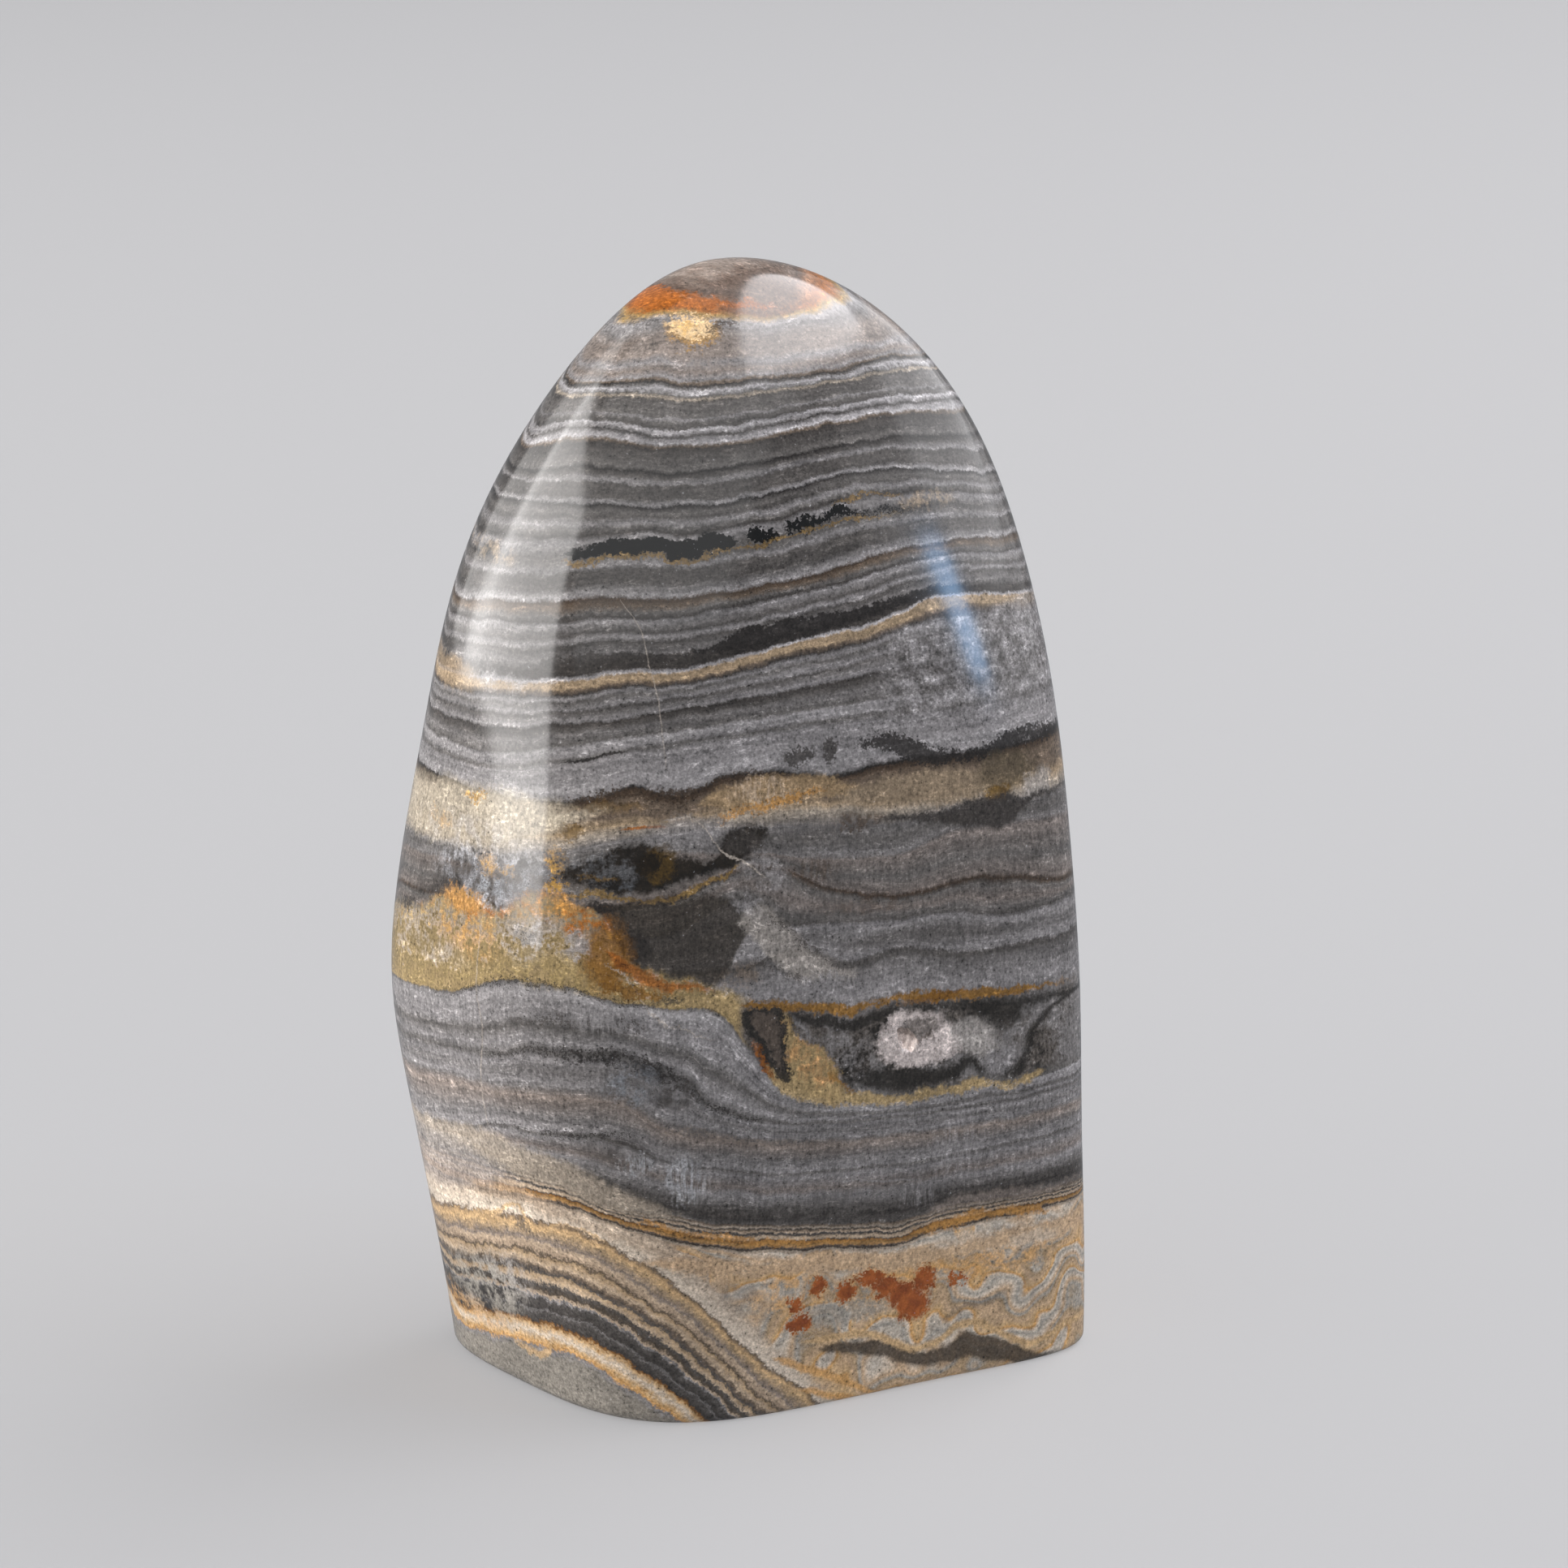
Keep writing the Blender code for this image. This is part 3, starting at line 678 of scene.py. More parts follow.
EYE_MARKS = (
    ("light", "wavy", 0.8, 0.7, "", ((-3.4, 54.6), (3.6, 1.3))),
    ("eye", "wavy", 0.8, 0.95, "", ((-15.8, 50.4, -0.3), (-14.5, 50.7, 0.3), (-13, 51.1, 0.9), (-11, 51.4, 1.4),
                                   (-9, 51.7, 2.0), (-7.5, 51.8, 2.0), (-6, 51.6, 1.8), (-4.5, 51.3, 1.1),
                                   (-3, 51.3, 0.9), (-1.5, 51.5, 0.6), (-0.8, 51.9, 0.7), (0, 52.5, 1.5),
                                   (1, 53.0, 1.6), (2.2, 53.5, 1.2), (3.2, 53.8, 0.4), (4, 54, -0.4))),
    ("black", "ragged", 0.6, 0.8, "mottle", ((-13, 50.3, -0.2), (-11, 50.4, 0.3), (-9, 50.4, 0.5), (-6, 50.3, 0.4),
                                            (-3.5, 50.8, 0.3), (-1, 51.4, 0.4), (0, 51.9, 0.2), (1, 52.2, -0.2))),
    ("ochre dark", "wavy", 0.4, 0.8, "", ((-13.5, 50.8, -0.2), (-12, 50.8, 0.15), (-10, 50.8, 0.15), (-9, 50.7, -0.2))),
    ("ochre ring", "wavy", 0.6, 0.6, "", ((-5.8, 52.0), (1.35, 1.5))),
    ("eye", "wavy", 0.6, 0.95, "", ((-6.6, 52.1), (1.15, 1.0))),
    ("fleck dark", "ragged", 0.7, 0.3, "mottle", ((-8.4, 51.2), (0.8, 1.7))),
    ("fleck dark", "ragged", 0.8, 0.3, "mottle", ((-11.2, 51.8), (2.2, 1.2))),
    ("dark", "ragged", 0.8, 0.8, "", ((1.3, 53.2), (1.8, 1.2))),
    ("gold", "wavy", 0.3, 0.9, "", ((-15, 49.0, -0.1), (-13, 49.4, 0.15), (-11.5, 49.7, 0.2), (-10, 49.5, 0.25),
                                   (-8.5, 49.2, 0.18), (-6.5, 48.9, 0.12), (-5, 48.9, 0.25), (-3.5, 49.2, 0.3),
                                   (-2.2, 49.8, 0.25), (-1, 50.3, 0.25), (0, 50.4, 0.2), (0.6, 51, 0.25),
                                   (1.2, 51.5, -0.1))),
    ("body", "wavy", 1.0, 0.88, "", ((-13, 48.6, -0.3), (-12, 48.6, 0.25), (-10.5, 48.1, 0.6), (-9.6, 47.3, 1.4),
                                    (-8.5, 46.2, 2.7), (-7, 45.5, 3.4), (-5.5, 44.9, 3.9), (-4, 44.7, 4.1),
                                    (-2.5, 44.8, 4.2), (-1, 45.1, 3.9), (0, 45.5, 3.2), (1, 45.8, 1.8),
                                    (2, 46.2, 0.2), (3, 46.5, -1.5))),
    ("night", "wavy", 0.9, 0.75, "", ((-8.2, 45.0), (1.5, 1.8))),
    ("night", "ragged", 0.7, 0.8, "", ((-10.9, 48.3), (1.5, 0.5))),
    ("light warm", "wavy", 1.1, 0.75, "", ((0.6, 46.3, -0.3), (2, 46.4, 1.2), (3, 45.9, 1.9), (4, 44.8, 2.1),
                                          (5.5, 43.2, 2.1), (7, 41.9, 1.6), (9, 41.0, 0.8), (11, 40.4, 0.3),
                                          (12, 40.2, -0.4))),
    ("brown", "wavy", 0.9, 0.6, "mottle", ((1.4, 41.6), (2.0, 1.2))),
    ("dark", "ragged", 0.3, 0.85, "dots", ((2.6, 47.2, -0.2), (4, 46.2, 0.3), (5, 45.6, 0.4), (6, 44.3, 0.45),
                                          (7, 43.6, 0.4), (8.5, 42.2, 0.35), (9.5, 41.5, 0.3), (11, 41.0, -0.1))),
    ("dusk", "wavy", 1.2, 0.6, "", ((9, 42.6, -0.3), (12, 42.8, 0.6), (16, 43.0, 0.9), (20, 42.6, 0.8),
                                   (24, 42.2, 0.4), (28, 42, -0.4))),
    ("dusk", "wavy", 0.35, 0.85, "", ((8, 42.2, -0.2), (10, 41.3, 0.25), (12, 41.1, 0.3), (14, 41.6, 0.3),
                                     (16, 41.7, 0.3), (18, 41, 0.3), (20, 40.5, 0.3), (24, 40.2, 0.3), (30, 40, 0.2))),
    ("dark", "ragged", 0.2, 0.8, "dots", ((1.8, 43.2, -0.1), (3, 42.5, 0.2), (4.5, 41.7, 0.2), (6, 40.9, 0.25),
                                         (7, 40, -0.1))),
    ("light", "ragged", 0.8, 0.8, "fibre", ((8.6, 39.9), (2.4, 0.8))),
    ("light", "wavy", 0.8, 0.6, "mottle", ((3.2, 49.6), (2.2, 2.6))),
    ("brown dark", "ragged", 0.8, 0.6, "fibre", ((7.6, 50.0), (1.8, 1.2))),
    ("brown dark", "wavy", 0.8, 0.5, "mottle", ((12.5, 46.4), (4.5, 0.9))),
    ("vein", "calm", 0.12, 0.7, "", ((-6, 56.0, -0.1), (-5, 55.9, 0.07), (-3.5, 55.9, 0.08), (-2, 55.0, 0.08),
                                    (-1, 53.5, 0.1), (0, 52.3, 0.1), (1, 51.8, 0.09), (3, 50.4, 0.07), (4, 49.6, -0.1))),
)
ZONE_MARKS = (
    ("pale blue", "ragged", 0.9, 0.8, "mottle", ((-21.4, 49.3), (3.6, 2.2))),
    ("pale blue", "ragged", 0.9, 0.8, "mottle", ((-18.0, 50.4), (3.4, 1.7))),
    ("fleck", "ragged", 0.8, 0.8, "mottle", ((-20.5, 49.2), (1.6, 1.2))),
    ("dark", "ragged", 0.8, 0.75, "dots", ((-30, 44.6, -0.2), (-26, 47.6, 0.8), (-23, 49.2, 1.2), (-20, 49.6, 1.5),
                                          (-17, 50.2, 1.4), (-15, 50.6, 1.0), (-12.5, 50.6, -0.2))),
    ("ochre bright", "ragged", 0.8, 0.6, "mottle", ((-20.6, 50.8), (1.0, 1.1))),
    ("ochre bright", "ragged", 0.8, 0.6, "mottle", ((-19.0, 50.7), (0.8, 0.5))),
    ("ochre bright", "ragged", 0.8, 0.8, "mottle", ((-14.7, 52.2), (0.9, 1.1))),
    ("ochre bright", "ragged", 0.7, 0.8, "", ((-14.8, 50.2), (0.8, 0.4))),
    ("dark", "ragged", 0.7, 0.85, "", ((-29.6, 43.6, -0.2), (-28.5, 44.4, 0.5), (-27.8, 45.6, 0.2), (-26.4, 46.7, 0.3),
                                      (-25, 47.4, 0.6), (-23.8, 48.3, 0.5), (-22.6, 49, -0.2))),
    ("orange zone", "ragged", 0.9, 0.5, "mottle", ((-22.6, 44.0), (3.0, 1.6))),
    ("orange zone", "ragged", 0.9, 0.85, "", ((-22.9, 47.0), (1.7, 1.0))),
    ("rust orange", "ragged", 0.5, 0.8, "mottle", ((-24, 45.6, -0.2), (-22, 46.3, 0.3), (-20, 46.9, 0.3),
                                                  (-18.6, 47.0, -0.1))),
    ("tan pale", "wavy", 0.9, 0.7, "mottle", ((-26.2, 42.0), (3.0, 1.2))),
    ("yellow dull", "wavy", 0.9, 0.8, "mottle", ((-15.0, 43.0), (5.5, 1.6))),
    ("amber dark", "ragged", 0.9, 0.85, "", ((-10.4, 44.4), (2.1, 2.9))),
    ("amber dark", "ragged", 0.9, 0.6, "mottle", ((-16.2, 47.4), (2.4, 1.6))),
    ("vein", "wavy", 0.15, 0.6, "", ((-11, 44.2, -0.1), (-10, 43.5, 0.06), (-8.5, 42.2, 0.08), (-7.6, 40.8, 0.08),
                                    (-6.5, 39, 0.08), (-4, 37.6, 0.07), (-2, 36.6, 0.06), (0, 36, -0.1))),
    ("orange zone", "ragged", 0.8, 0.9, "mottle", ((-15.2, 48.4), (2.2, 1.2))),
    ("rust orange", "ragged", 0.8, 0.9, "mottle", ((-12.4, 47.0), (2.2, 0.9))),
    ("grey white", "ragged", 0.8, 0.9, "mottle", ((-17.8, 45.2), (1.9, 1.6))),
    ("grey white", "ragged", 0.8, 0.9, "mottle", ((-15.6, 46.2), (1.5, 1.5))),
    ("light", "ragged", 0.8, 0.85, "mottle", ((-12.9, 45.1), (1.2, 1.2))),
    ("dark", "ragged", 0.8, 0.8, "dots", ((-17.4, 45.4), (0.9, 0.7))),
    ("rust orange", "wavy", 0.6, 0.85, "", ((-10.8, 45.4, -0.2), (-9.4, 43.8, 0.5), (-8, 42.8, 0.6), (-6, 41.7, 0.55),
                                           (-4, 41.4, 0.4), (-2, 41.1, 0.15), (-0.5, 40.7, -0.2))),
    ("amber dark", "ragged", 0.6, 0.8, "", ((-12, 42.0, -0.2), (-10, 41.8, 0.5), (-8, 41.2, 0.6), (-6, 40.7, 0.3),
                                           (-4, 40.5, -0.1))),
    ("dark", "ragged", 0.3, 0.8, "", ((-7.8, 40.4, -0.1), (-6, 40.1, 0.12), (-4, 40.0, 0.2), (-3, 40.2, -0.1))),
    ("brown dark", "ragged", 0.8, 0.8, "", ((-1.2, 39.7), (0.5, 0.8))),
    ("yellow", "wavy", 0.4, 0.85, "", ((-7, 39.8, -0.2), (-3, 39.9, 0.3), (-1, 39.8, 0.5), (0, 39.3, 0.8),
                                      (1.2, 38.2, 0.9), (2, 37, 0.5), (2.6, 36, -0.2))),
    ("night", "ragged", 0.25, 0.8, "dots", ((-29, 37.2, -0.1), (-25, 38.2, 0.25), (-22, 39.9, 0.25), (-20, 41.0, 0.3),
                                           (-17, 41.4, 0.3), (-14, 41.4, 0.25), (-11, 40.8, 0.25), (-8, 40.0, 0.2),
                                           (-6, 39.6, -0.1))),
)
GREY_MARKS = (
    ("dark", "ragged", 0.6, 0.8, "dots", ((-21, 37.0, -0.2), (-17, 38.2, 0.4), (-15, 38.5, 0.5), (-12, 38.3, 0.5),
                                         (-9, 38.3, 0.8), (-7.5, 38.0, 0.5), (-6, 37.5, -0.2))),
    ("night", "ragged", 0.5, 0.85, "dots", ((-27, 32.4, -0.2), (-20, 34.3, 0.3), (-17, 35.5, 0.5), (-13, 35.6, 0.6),
                                           (-10, 35.5, 0.7), (-7.5, 34.6, 0.9), (-5, 33.4, 0.9), (-3.4, 32.3, 0.5),
                                           (-2, 30.6, 0.4), (0, 29.4, 0.4), (2, 28.8, 0.3), (5, 28, -0.1))),
    ("night", "ragged", 0.8, 0.8, "mottle", ((-11.3, 35.4), (2.0, 0.7))),
    ("night", "ragged", 0.8, 0.8, "mottle", ((-6.6, 34.1), (2.0, 0.9))),
    ("fleck dark", "ragged", 0.9, 0.85, "mottle", ((-8.2, 32.6), (2.2, 1.8))),
    ("dark", "ragged", 0.9, 0.8, "mottle", ((-4.6, 31.8), (2.2, 1.6))),
    ("pale", "wavy", 0.9, 0.6, "fibre", ((-10.5, 39.0), (3.0, 1.4))),
    ("brown", "wavy", 0.5, 0.4, "dots", ((-9, 29.2, -0.2), (-5, 28.5, 0.3), (0, 27.2, 0.35), (4, 26.1, 0.3),
                                        (10, 25.1, -0.1))),
    ("night", "ragged", 0.2, 0.85, "dots", ((-24.5, 24.8, -0.1), (-22, 26, 0.2), (-20, 27, 0.2), (-18, 27.6, 0.2),
                                           (-15, 27.7, 0.25), (-12, 27.9, 0.3), (-9, 28.2, 0.2), (-7, 28.0, -0.1))),
    ("dark", "ragged", 0.9, 0.75, "mottle", ((-9.5, 26.4), (3.0, 1.6))),
    ("fan", "ragged", 0.8, 0.8, "fibre", ((-7.8, 25.3), (1.6, 1.0))),
    ("fan", "ragged", 0.8, 0.9, "fibre", ((-3.8, 23.6), (1.6, 2.0))),
    ("dusk", "wavy", 0.9, 0.6, "mottle", ((12, 19.4), (9, 1.6))),
    ("light", "wavy", 0.9, 0.5, "fibre", ((20.5, 22.5), (2.4, 2.4))),
    ("light", "wavy", 0.9, 0.5, "fibre", ((17, 19.0), (1.8, 1.3))),
    ("light", "calm", 0.15, 0.7, "", ((8, 21.5, -0.1), (10, 21.4, 0.08), (13, 20.8, 0.1), (16, 20.3, 0.1), (18, 20.2, -0.1))),
    ("tan pale", "wavy", 1.2, 0.8, "", ((-36, 22, 1.5), (-26, 23, 1.5), (-21, 24, 1.7), (-16, 23.8, 1.5),
                                       (-12, 22.8, 1.4), (-9, 21.7, 1.0), (-6, 20.8, 0.5), (-3, 20, -0.6))),
)
POCKET_MARKS = (
    ("pocket dark", "wavy", 0.7, 0.95, "", ((3, 37.8, 0.3), (6, 37.0, 0.5), (9, 36.4, 0.5), (11, 35.5, 0.5),
                                           (13, 36.2, 0.6), (15, 36.9, 0.3), (18, 36.3, 0.35), (21, 36.0, 0.4),
                                           (23, 35.6, 0.8), (27, 35.0, 0.5), (31, 34.7, 0.3))),
    ("pocket dark", "wavy", 0.9, 0.95, "", ((9.5, 31.0, -0.2), (11.5, 30.6, 0.7), (14, 30.0, 0.9), (17, 29.7, 0.9),
                                           (20, 29.6, 0.9), (21.5, 30.6, 0.5), (22.5, 29.4, 0.6), (24, 28.2, 0.4),
                                           (26, 28.6, 0.6), (27, 29.5, -0.2))),
    ("pocket dark", "wavy", 0.9, 0.85, "", ((24.0, 34.6), (2.4, 1.8))),
    ("light", "wavy", 0.9, 0.55, "mottle", ((11.2, 32.6), (2.0, 1.8))),
    ("grey white", "wavy", 0.8, 0.85, "", ((21.4, 33.0), (2.4, 1.3))),
    ("grey white", "wavy", 0.8, 0.75, "", ((22.8, 31.8), (1.5, 0.9))),
    ("light", "wavy", 0.9, 0.7, "", ((24.6, 30.0), (1.7, 1.3))),
    ("light", "wavy", 0.8, 0.7, "", ((5.6, 37.4, -0.1), (6.3, 36.4, 0.3), (7.1, 35.6, 0.3), (7.8, 35.2, -0.1))),
)
POCKET_RIM = (
    ("yellow", "wavy", 0.5, 0.9, "", ((3, 33.6, -0.1), (4, 32.2, 0.7), (5, 31.3, 0.9), (7, 30.3, 0.9), (9, 29.5, 0.9),
                                     (11, 28.9, 0.6), (13, 28.4, 0.45), (16, 28.1, 0.4), (20, 28.0, 0.4),
                                     (22, 28.4, 0.5), (23.5, 28.0, 0.2), (25.5, 27.4, 0.2), (27, 27.9, 0.5),
                                     (29, 28.2, -0.3))),
    ("yellow orange", "wavy", 0.45, 0.9, "", ((0.5, 39.4, -0.2), (2, 38.9, 0.3), (4, 38.6, 0.35), (6, 38.2, 0.4),
                                             (8, 37.9, 0.4), (10, 37.2, 0.55), (10.8, 37.0, 0.6), (12, 37.3, 0.3),
                                             (13, 37.3, 0.2), (15, 37.5, 0.25), (17, 37.3, 0.35), (20, 36.8, 0.35),
                                             (23, 36.5, 0.45), (26, 36.2, 0.35), (29, 36, 0.1), (32, 35.8, -0.2))),
    ("amber dark", "wavy", 0.8, 0.7, "", ((18.5, 37.0), (2.6, 0.4))),
)
FOOT_MARKS = (
    ("bed dark", "calm", 0.6, 0.95, "", ((7.5, 5.7, -0.2), (9, 5.4, 0.4), (11.5, 5.0, 0.6), (14, 4.3, 0.8),
                                        (16, 3.2, 0.8), (18, 2.5, 0.7), (20, 2.7, 1.0), (21.3, 3.2, 1.3),
                                        (23, 2.5, 1.3), (25, 1.7, 1.1), (27, 0.6, 0.8), (30, 0, 0.2), (36, 0, 0))),
    ("cream orange", "calm", 0.5, 0.95, "", ((6, 6.6, -0.2), (8, 6.5, 0.35), (10, 6.4, 0.4), (13, 5.9, 0.4),
                                            (15, 4.6, 0.4), (17, 3.8, 0.35), (18.5, 3.9, 0.35), (20.5, 5.1, 0.4),
                                            (22, 5.2, 0.4), (24, 4.1, 0.4), (26, 2.6, 0.4), (27.5, 1.8, 0.4),
                                            (29, 2.2, 0.35), (31, 3, 0.3), (36, 3, 0.3))),
    ("grey low", "ragged", 0.9, 0.8, "", ((10.2, 8.8), (4.4, 1.2))),
    ("mid", "wavy", 0.6, 0.5, "", ((17.5, 5.2, -0.2), (20, 6.3, 0.3), (22, 7.2, 0.4), (24, 7.2, 0.3), (25, 6.6, -0.2))),
    ("dusk", "ragged", 0.8, 0.5, "mottle", ((27.4, 7.6), (0.9, 1.6))),
    ("orange low", "calm", 0.5, 0.85, "", ((3.5, 5.9, -0.2), (5, 5.1, 0.35), (7, 4.0, 0.4), (9, 2.9, 0.4),
                                          (11, 1.7, 0.4), (13, 0.2, 0.3), (15, -1, 0.2))),
    ("orange low", "calm", 0.5, 0.85, "", ((6, 2.2, -0.2), (7.5, 1.6, 0.4), (9, 0.9, 0.4), (11, 0, 0.3), (12, -1, 0))),
    ("orange low", "ragged", 0.9, 0.75, "mottle", ((5.6, 11.6), (3.2, 2.2))),
    ("orange low", "ragged", 0.9, 0.75, "mottle", ((14.5, 10.8), (5.0, 1.8))),
    ("orange low", "ragged", 0.9, 0.7, "mottle", ((24.5, 11.0), (6.0, 1.2))),
    ("peach low", "wavy", 0.9, 0.95, "", ((-9, 15.6, -0.4), (-5, 15.7, 0.7), (-2, 15.2, 0.8), (3, 14.6, 0.6),
                                         (8, 13.9, 0.9), (13, 13.0, 1.0), (17, 12.5, 1.1), (19, 12.8, 0.8),
                                         (24, 12.9, 0.8), (32, 12.8, 0.8), (36, 13, 0.5))),
    ("white warm", "wavy", 0.9, 0.6, "", ((20.5, 13.7), (2.6, 0.7))),
    ("white warm", "wavy", 0.9, 0.5, "", ((27.5, 12.4), (2.2, 0.7))),
    ("mid", "ragged", 0.9, 0.7, "mottle", ((1.0, 12.8), (1.8, 1.4))),
)
K_MARKS = (
    ("orange zone", "wavy", 0.6, 0.85, "", ((15.5, 15.2, -0.2), (17.5, 15.3, 0.3), (20, 15.5, 0.4), (22.5, 15.7, 0.4),
                                           (23.5, 15.3, 0.2), (25, 15.6, 0.4), (27, 15.2, 0.3), (28.5, 14.7, 0.2),
                                           (30, 14.6, -0.2), (36, 15, -0.2))),
    ("orange zone", "wavy", 0.3, 0.7, "", ((-9, 19.7, -0.1), (-7, 19.6, 0.2), (-5, 19.0, 0.25), (-3, 18.2, 0.15),
                                          (-1, 17.8, 0.25), (2, 17.2, 0.3), (6, 16.4, 0.25), (10, 15.6, 0.15),
                                          (13, 15.3, -0.1))),
    ("light", "wavy", 2.0, 0.6, "", ((-36, 19.5, 3.0), (-26, 20.3, 2.8), (-22, 21.3, 1.6), (-18, 22, -0.5),
                                    (-14, 22, -2.0))),
    ("brown light", "wavy", 0.8, 0.7, "", ((17, 17.0, -0.3), (19, 17.0, 0.4), (21, 17.4, 0.5), (23, 17.3, 0.5),
                                          (26, 16.9, 0.5), (30, 16.8, 0.2), (36, 16.6, 0))),
)
LEFT_FOOT_MARKS = (
    ("orange low", "wavy", 0.9, 0.7, "mottle", ((-23.5, 5.9), (3.6, 1.2))),
    ("cream orange", "wavy", 0.5, 0.8, "", ((-20, 4.6, -0.2), (-18.6, 4.4, 0.3), (-17.2, 4.2, 0.4), (-16.2, 4.9, 0.5),
                                           (-15.6, 6, -0.2))),
    ("grey white", "ragged", 0.9, 0.75, "mottle", ((-20, 11.0), (2.2, 2.2))),
    ("grey low", "ragged", 0.9, 0.7, "mottle", ((-22, 9.0), (3.2, 3.0))),
    ("cream orange", "wavy", 0.4, 0.8, "", ((-26, 15.2, -0.2), (-23, 16.2, 0.3), (-20.5, 17.6, 0.3), (-18.8, 18.9, 0.2),
                                           (-18.2, 18.4, 0.25), (-17.4, 17.4, 0.25), (-16.2, 17.5, 0.25),
                                           (-15.2, 18.4, 0.15), (-13, 18.5, 0.12), (-12, 18.3, 0.2), (-10, 17.0, -0.1))),
    ("dusk", "ragged", 0.6, 0.7, "", ((-19.2, 16.6, -0.2), (-18.4, 17.4, 0.5), (-17.8, 16.8, 0.3), (-17, 16.4, -0.2))),
    ("beige", "wavy", 1.2, 0.6, "", ((-36, 19, 1.5), (-26, 19.5, 1.5), (-20, 20.3, 1.2), (-16, 19.8, 0.8),
                                    (-12, 19.0, 0.5), (-8, 17.6, 0.6), (-5, 16.4, 0.6), (-2, 15.8, 0.3), (0, 15.5, -0.3))),
)
CRACK_TOP = ((75, -9.5, -0.1), (74, -9, 0.03), (72, -7.5, 0.06), (69, -6.7, 0.05), (66.5, -6, 0.06), (63, -5.5, 0.05),
             (60.5, -5.2, 0.04), (59, -5, -0.1))
CRACK_LEFT = ((47, -21.2, -0.1), (45, -21.5, 0.04), (40, -21.9, 0.05), (36, -21.4, 0.06), (31, -21.7, 0.05),
              (27, -21.3, 0.04), (25, -21, -0.1))
RUST_BLOBS = (
    ((6.1, 8.4), (1.2, 0.8)), ((5.9, 10.3), (0.7, 0.8)), ((7.9, 11.6), (0.8, 0.9)), ((10.5, 10.6), (0.9, 0.9)),
    ((12.6, 11.5), (1.3, 0.7)), ((14.2, 10.2), (1.4, 1.0)), ((16.4, 8.2), (1.5, 1.6)), ((17.5, 10.5), (0.9, 1.2)),
    ((15.4, 9.3), (1.3, 1.2)), ((20.4, 9.9), (1.0, 0.6)),
)
OCHRE_TOP = ((-36, 42.5), (-30, 43.7), (-27, 45.2), (-24, 47.8), (-22, 48.0), (-20, 47.4), (-17, 49.3), (-15, 49.4),
             (-13, 48.6), (-11.5, 48.1), (-10.3, 46.8), (-9.5, 45.0), (-8.5, 43.8), (-7, 42.9), (-5, 42.3),
             (-3, 41.9), (-1, 41), (0, 40.6), (2, 39.8), (4, 39.0), (8, 38.3), (12, 37.8), (36, 36))

def stroke(ground, level, softness, points, strength=1.0):
    """`strength` inside a band that follows the beds, fading over `softness` at its edges."""
    centre = curve(ground.u, [(u, v) for u, v, _ in points])
    reach = curve(ground.u, [(u, half) for u, _, half in points])
    inside = reach - abs(getattr(ground, level) - centre)
    return rise(inside, -softness / 2, softness / 2, strength)


def upright(ground, softness, points, strength=1.0):
    """The same for a band that stands across the beds: (v, u, half thickness) up it."""
    centre = curve(ground.v, [(v, u) for v, u, _ in points])
    reach = curve(ground.v, [(v, half) for v, _, half in points])
    inside = reach - abs(ground.along - centre)
    return rise(inside, -softness / 2, softness / 2, strength)


def blob(ground, centre, size, softness=0.4, level="wavy", strength=1.0):
    """`strength` inside an uneven oval, fading to 0 over `softness` of its size at the edge."""
    across, up = 1 / size[0], 1 / size[1]
    step = add_node("ShaderNodeVectorMath")
    step.operation = "MULTIPLY_ADD"
    feed(step.inputs[0], ground.spots[level])
    feed(step.inputs[1], (across, up, 0))
    feed(step.inputs[2], (-centre[0] * across, -centre[1] * up, 0))
    apart = add_node("ShaderNodeVectorMath")
    apart.operation = "LENGTH"
    TREE.links.new(step.outputs[0], apart.inputs[0])
    return rise(Field(apart.outputs["Value"]), 1 + softness / 2, 1 - softness / 2, strength)


def fracture(ground, points):
    """A thin healed crack that stands across the beds, through the (v, u, half thickness) points."""
    centre = curve(ground.v, [(v, u) for v, u, _ in points])
    reach = curve(ground.v, [(v, half) for v, _, half in points])
    return rise(reach - abs(ground.u - centre), -0.05, 0.07, 0.6)


def tones_of(ground, height):
    """Grain and texture of the rock, each a noise about 0.5."""
    u, w = ground.u, ground.w
    thin = place(u * 0.06, w * 0.06, height)
    return {
        "laminae": plain_noise(thin, 1.4, 3.0, 0.85),
        "lines": plain_noise(place(u * 0.09, w * 0.09, height), 2.4, 1.0, 0.6),
        "grain": plain_noise(ground.place, 3.0, 2.0, 0.85),
        "fibre": plain_noise(place(u * 3.0, w * 3.0, ground.v * 0.55), 1.0, 2.0, 0.7),
        "mottle": plain_noise(ground.place, 0.75, 3.0, 0.72),
        "cloud": plain_noise(ground.place, 0.17, 1.0, 0.5),
    }


def scaled(colour, factor):
    """`colour` times a factor that may be over 1."""
    darker = 1 - factor
    step = add_node("ShaderNodeMix")
    step.data_type = "RGBA"
    step.clamp_factor = False
    feed(step.inputs[0], darker)
    feed(step.inputs[6], colour)
    feed(step.inputs[7], (0, 0, 0, 1))
    return step.outputs[2]


def swing(field, amount):
    """A factor about 1 that follows a noise."""
    return maths("MULTIPLY_ADD", field, 2 * amount, 1 - amount)


def broken(noises, patch):
    """The share that a texture leaves of a patchy marking, or None for a whole one."""
    if patch == "mottle":
        return rise(noises["mottle"], 0.40, 0.60)
    if patch == "dots":
        return rise(noises["grain"], 0.44, 0.56)
    if patch == "fibre":
        return rise(noises["fibre"], 0.38, 0.62)
    return None


def paint(ground, colour, noises, marks):
    """`colour` with the markings painted over it."""
    for name, level, softness, strength, patch, shape in marks:
        if len(shape[0]) == 2:
            mask = blob(ground, shape[0], shape[1], softness, level, strength)
        else:
            mask = stroke(ground, level, softness, shape, strength)
        part = noises["breaks"][patch]
        if part is not None:
            mask = mask * part
        colour = blend(mask, colour, name)
    return colour


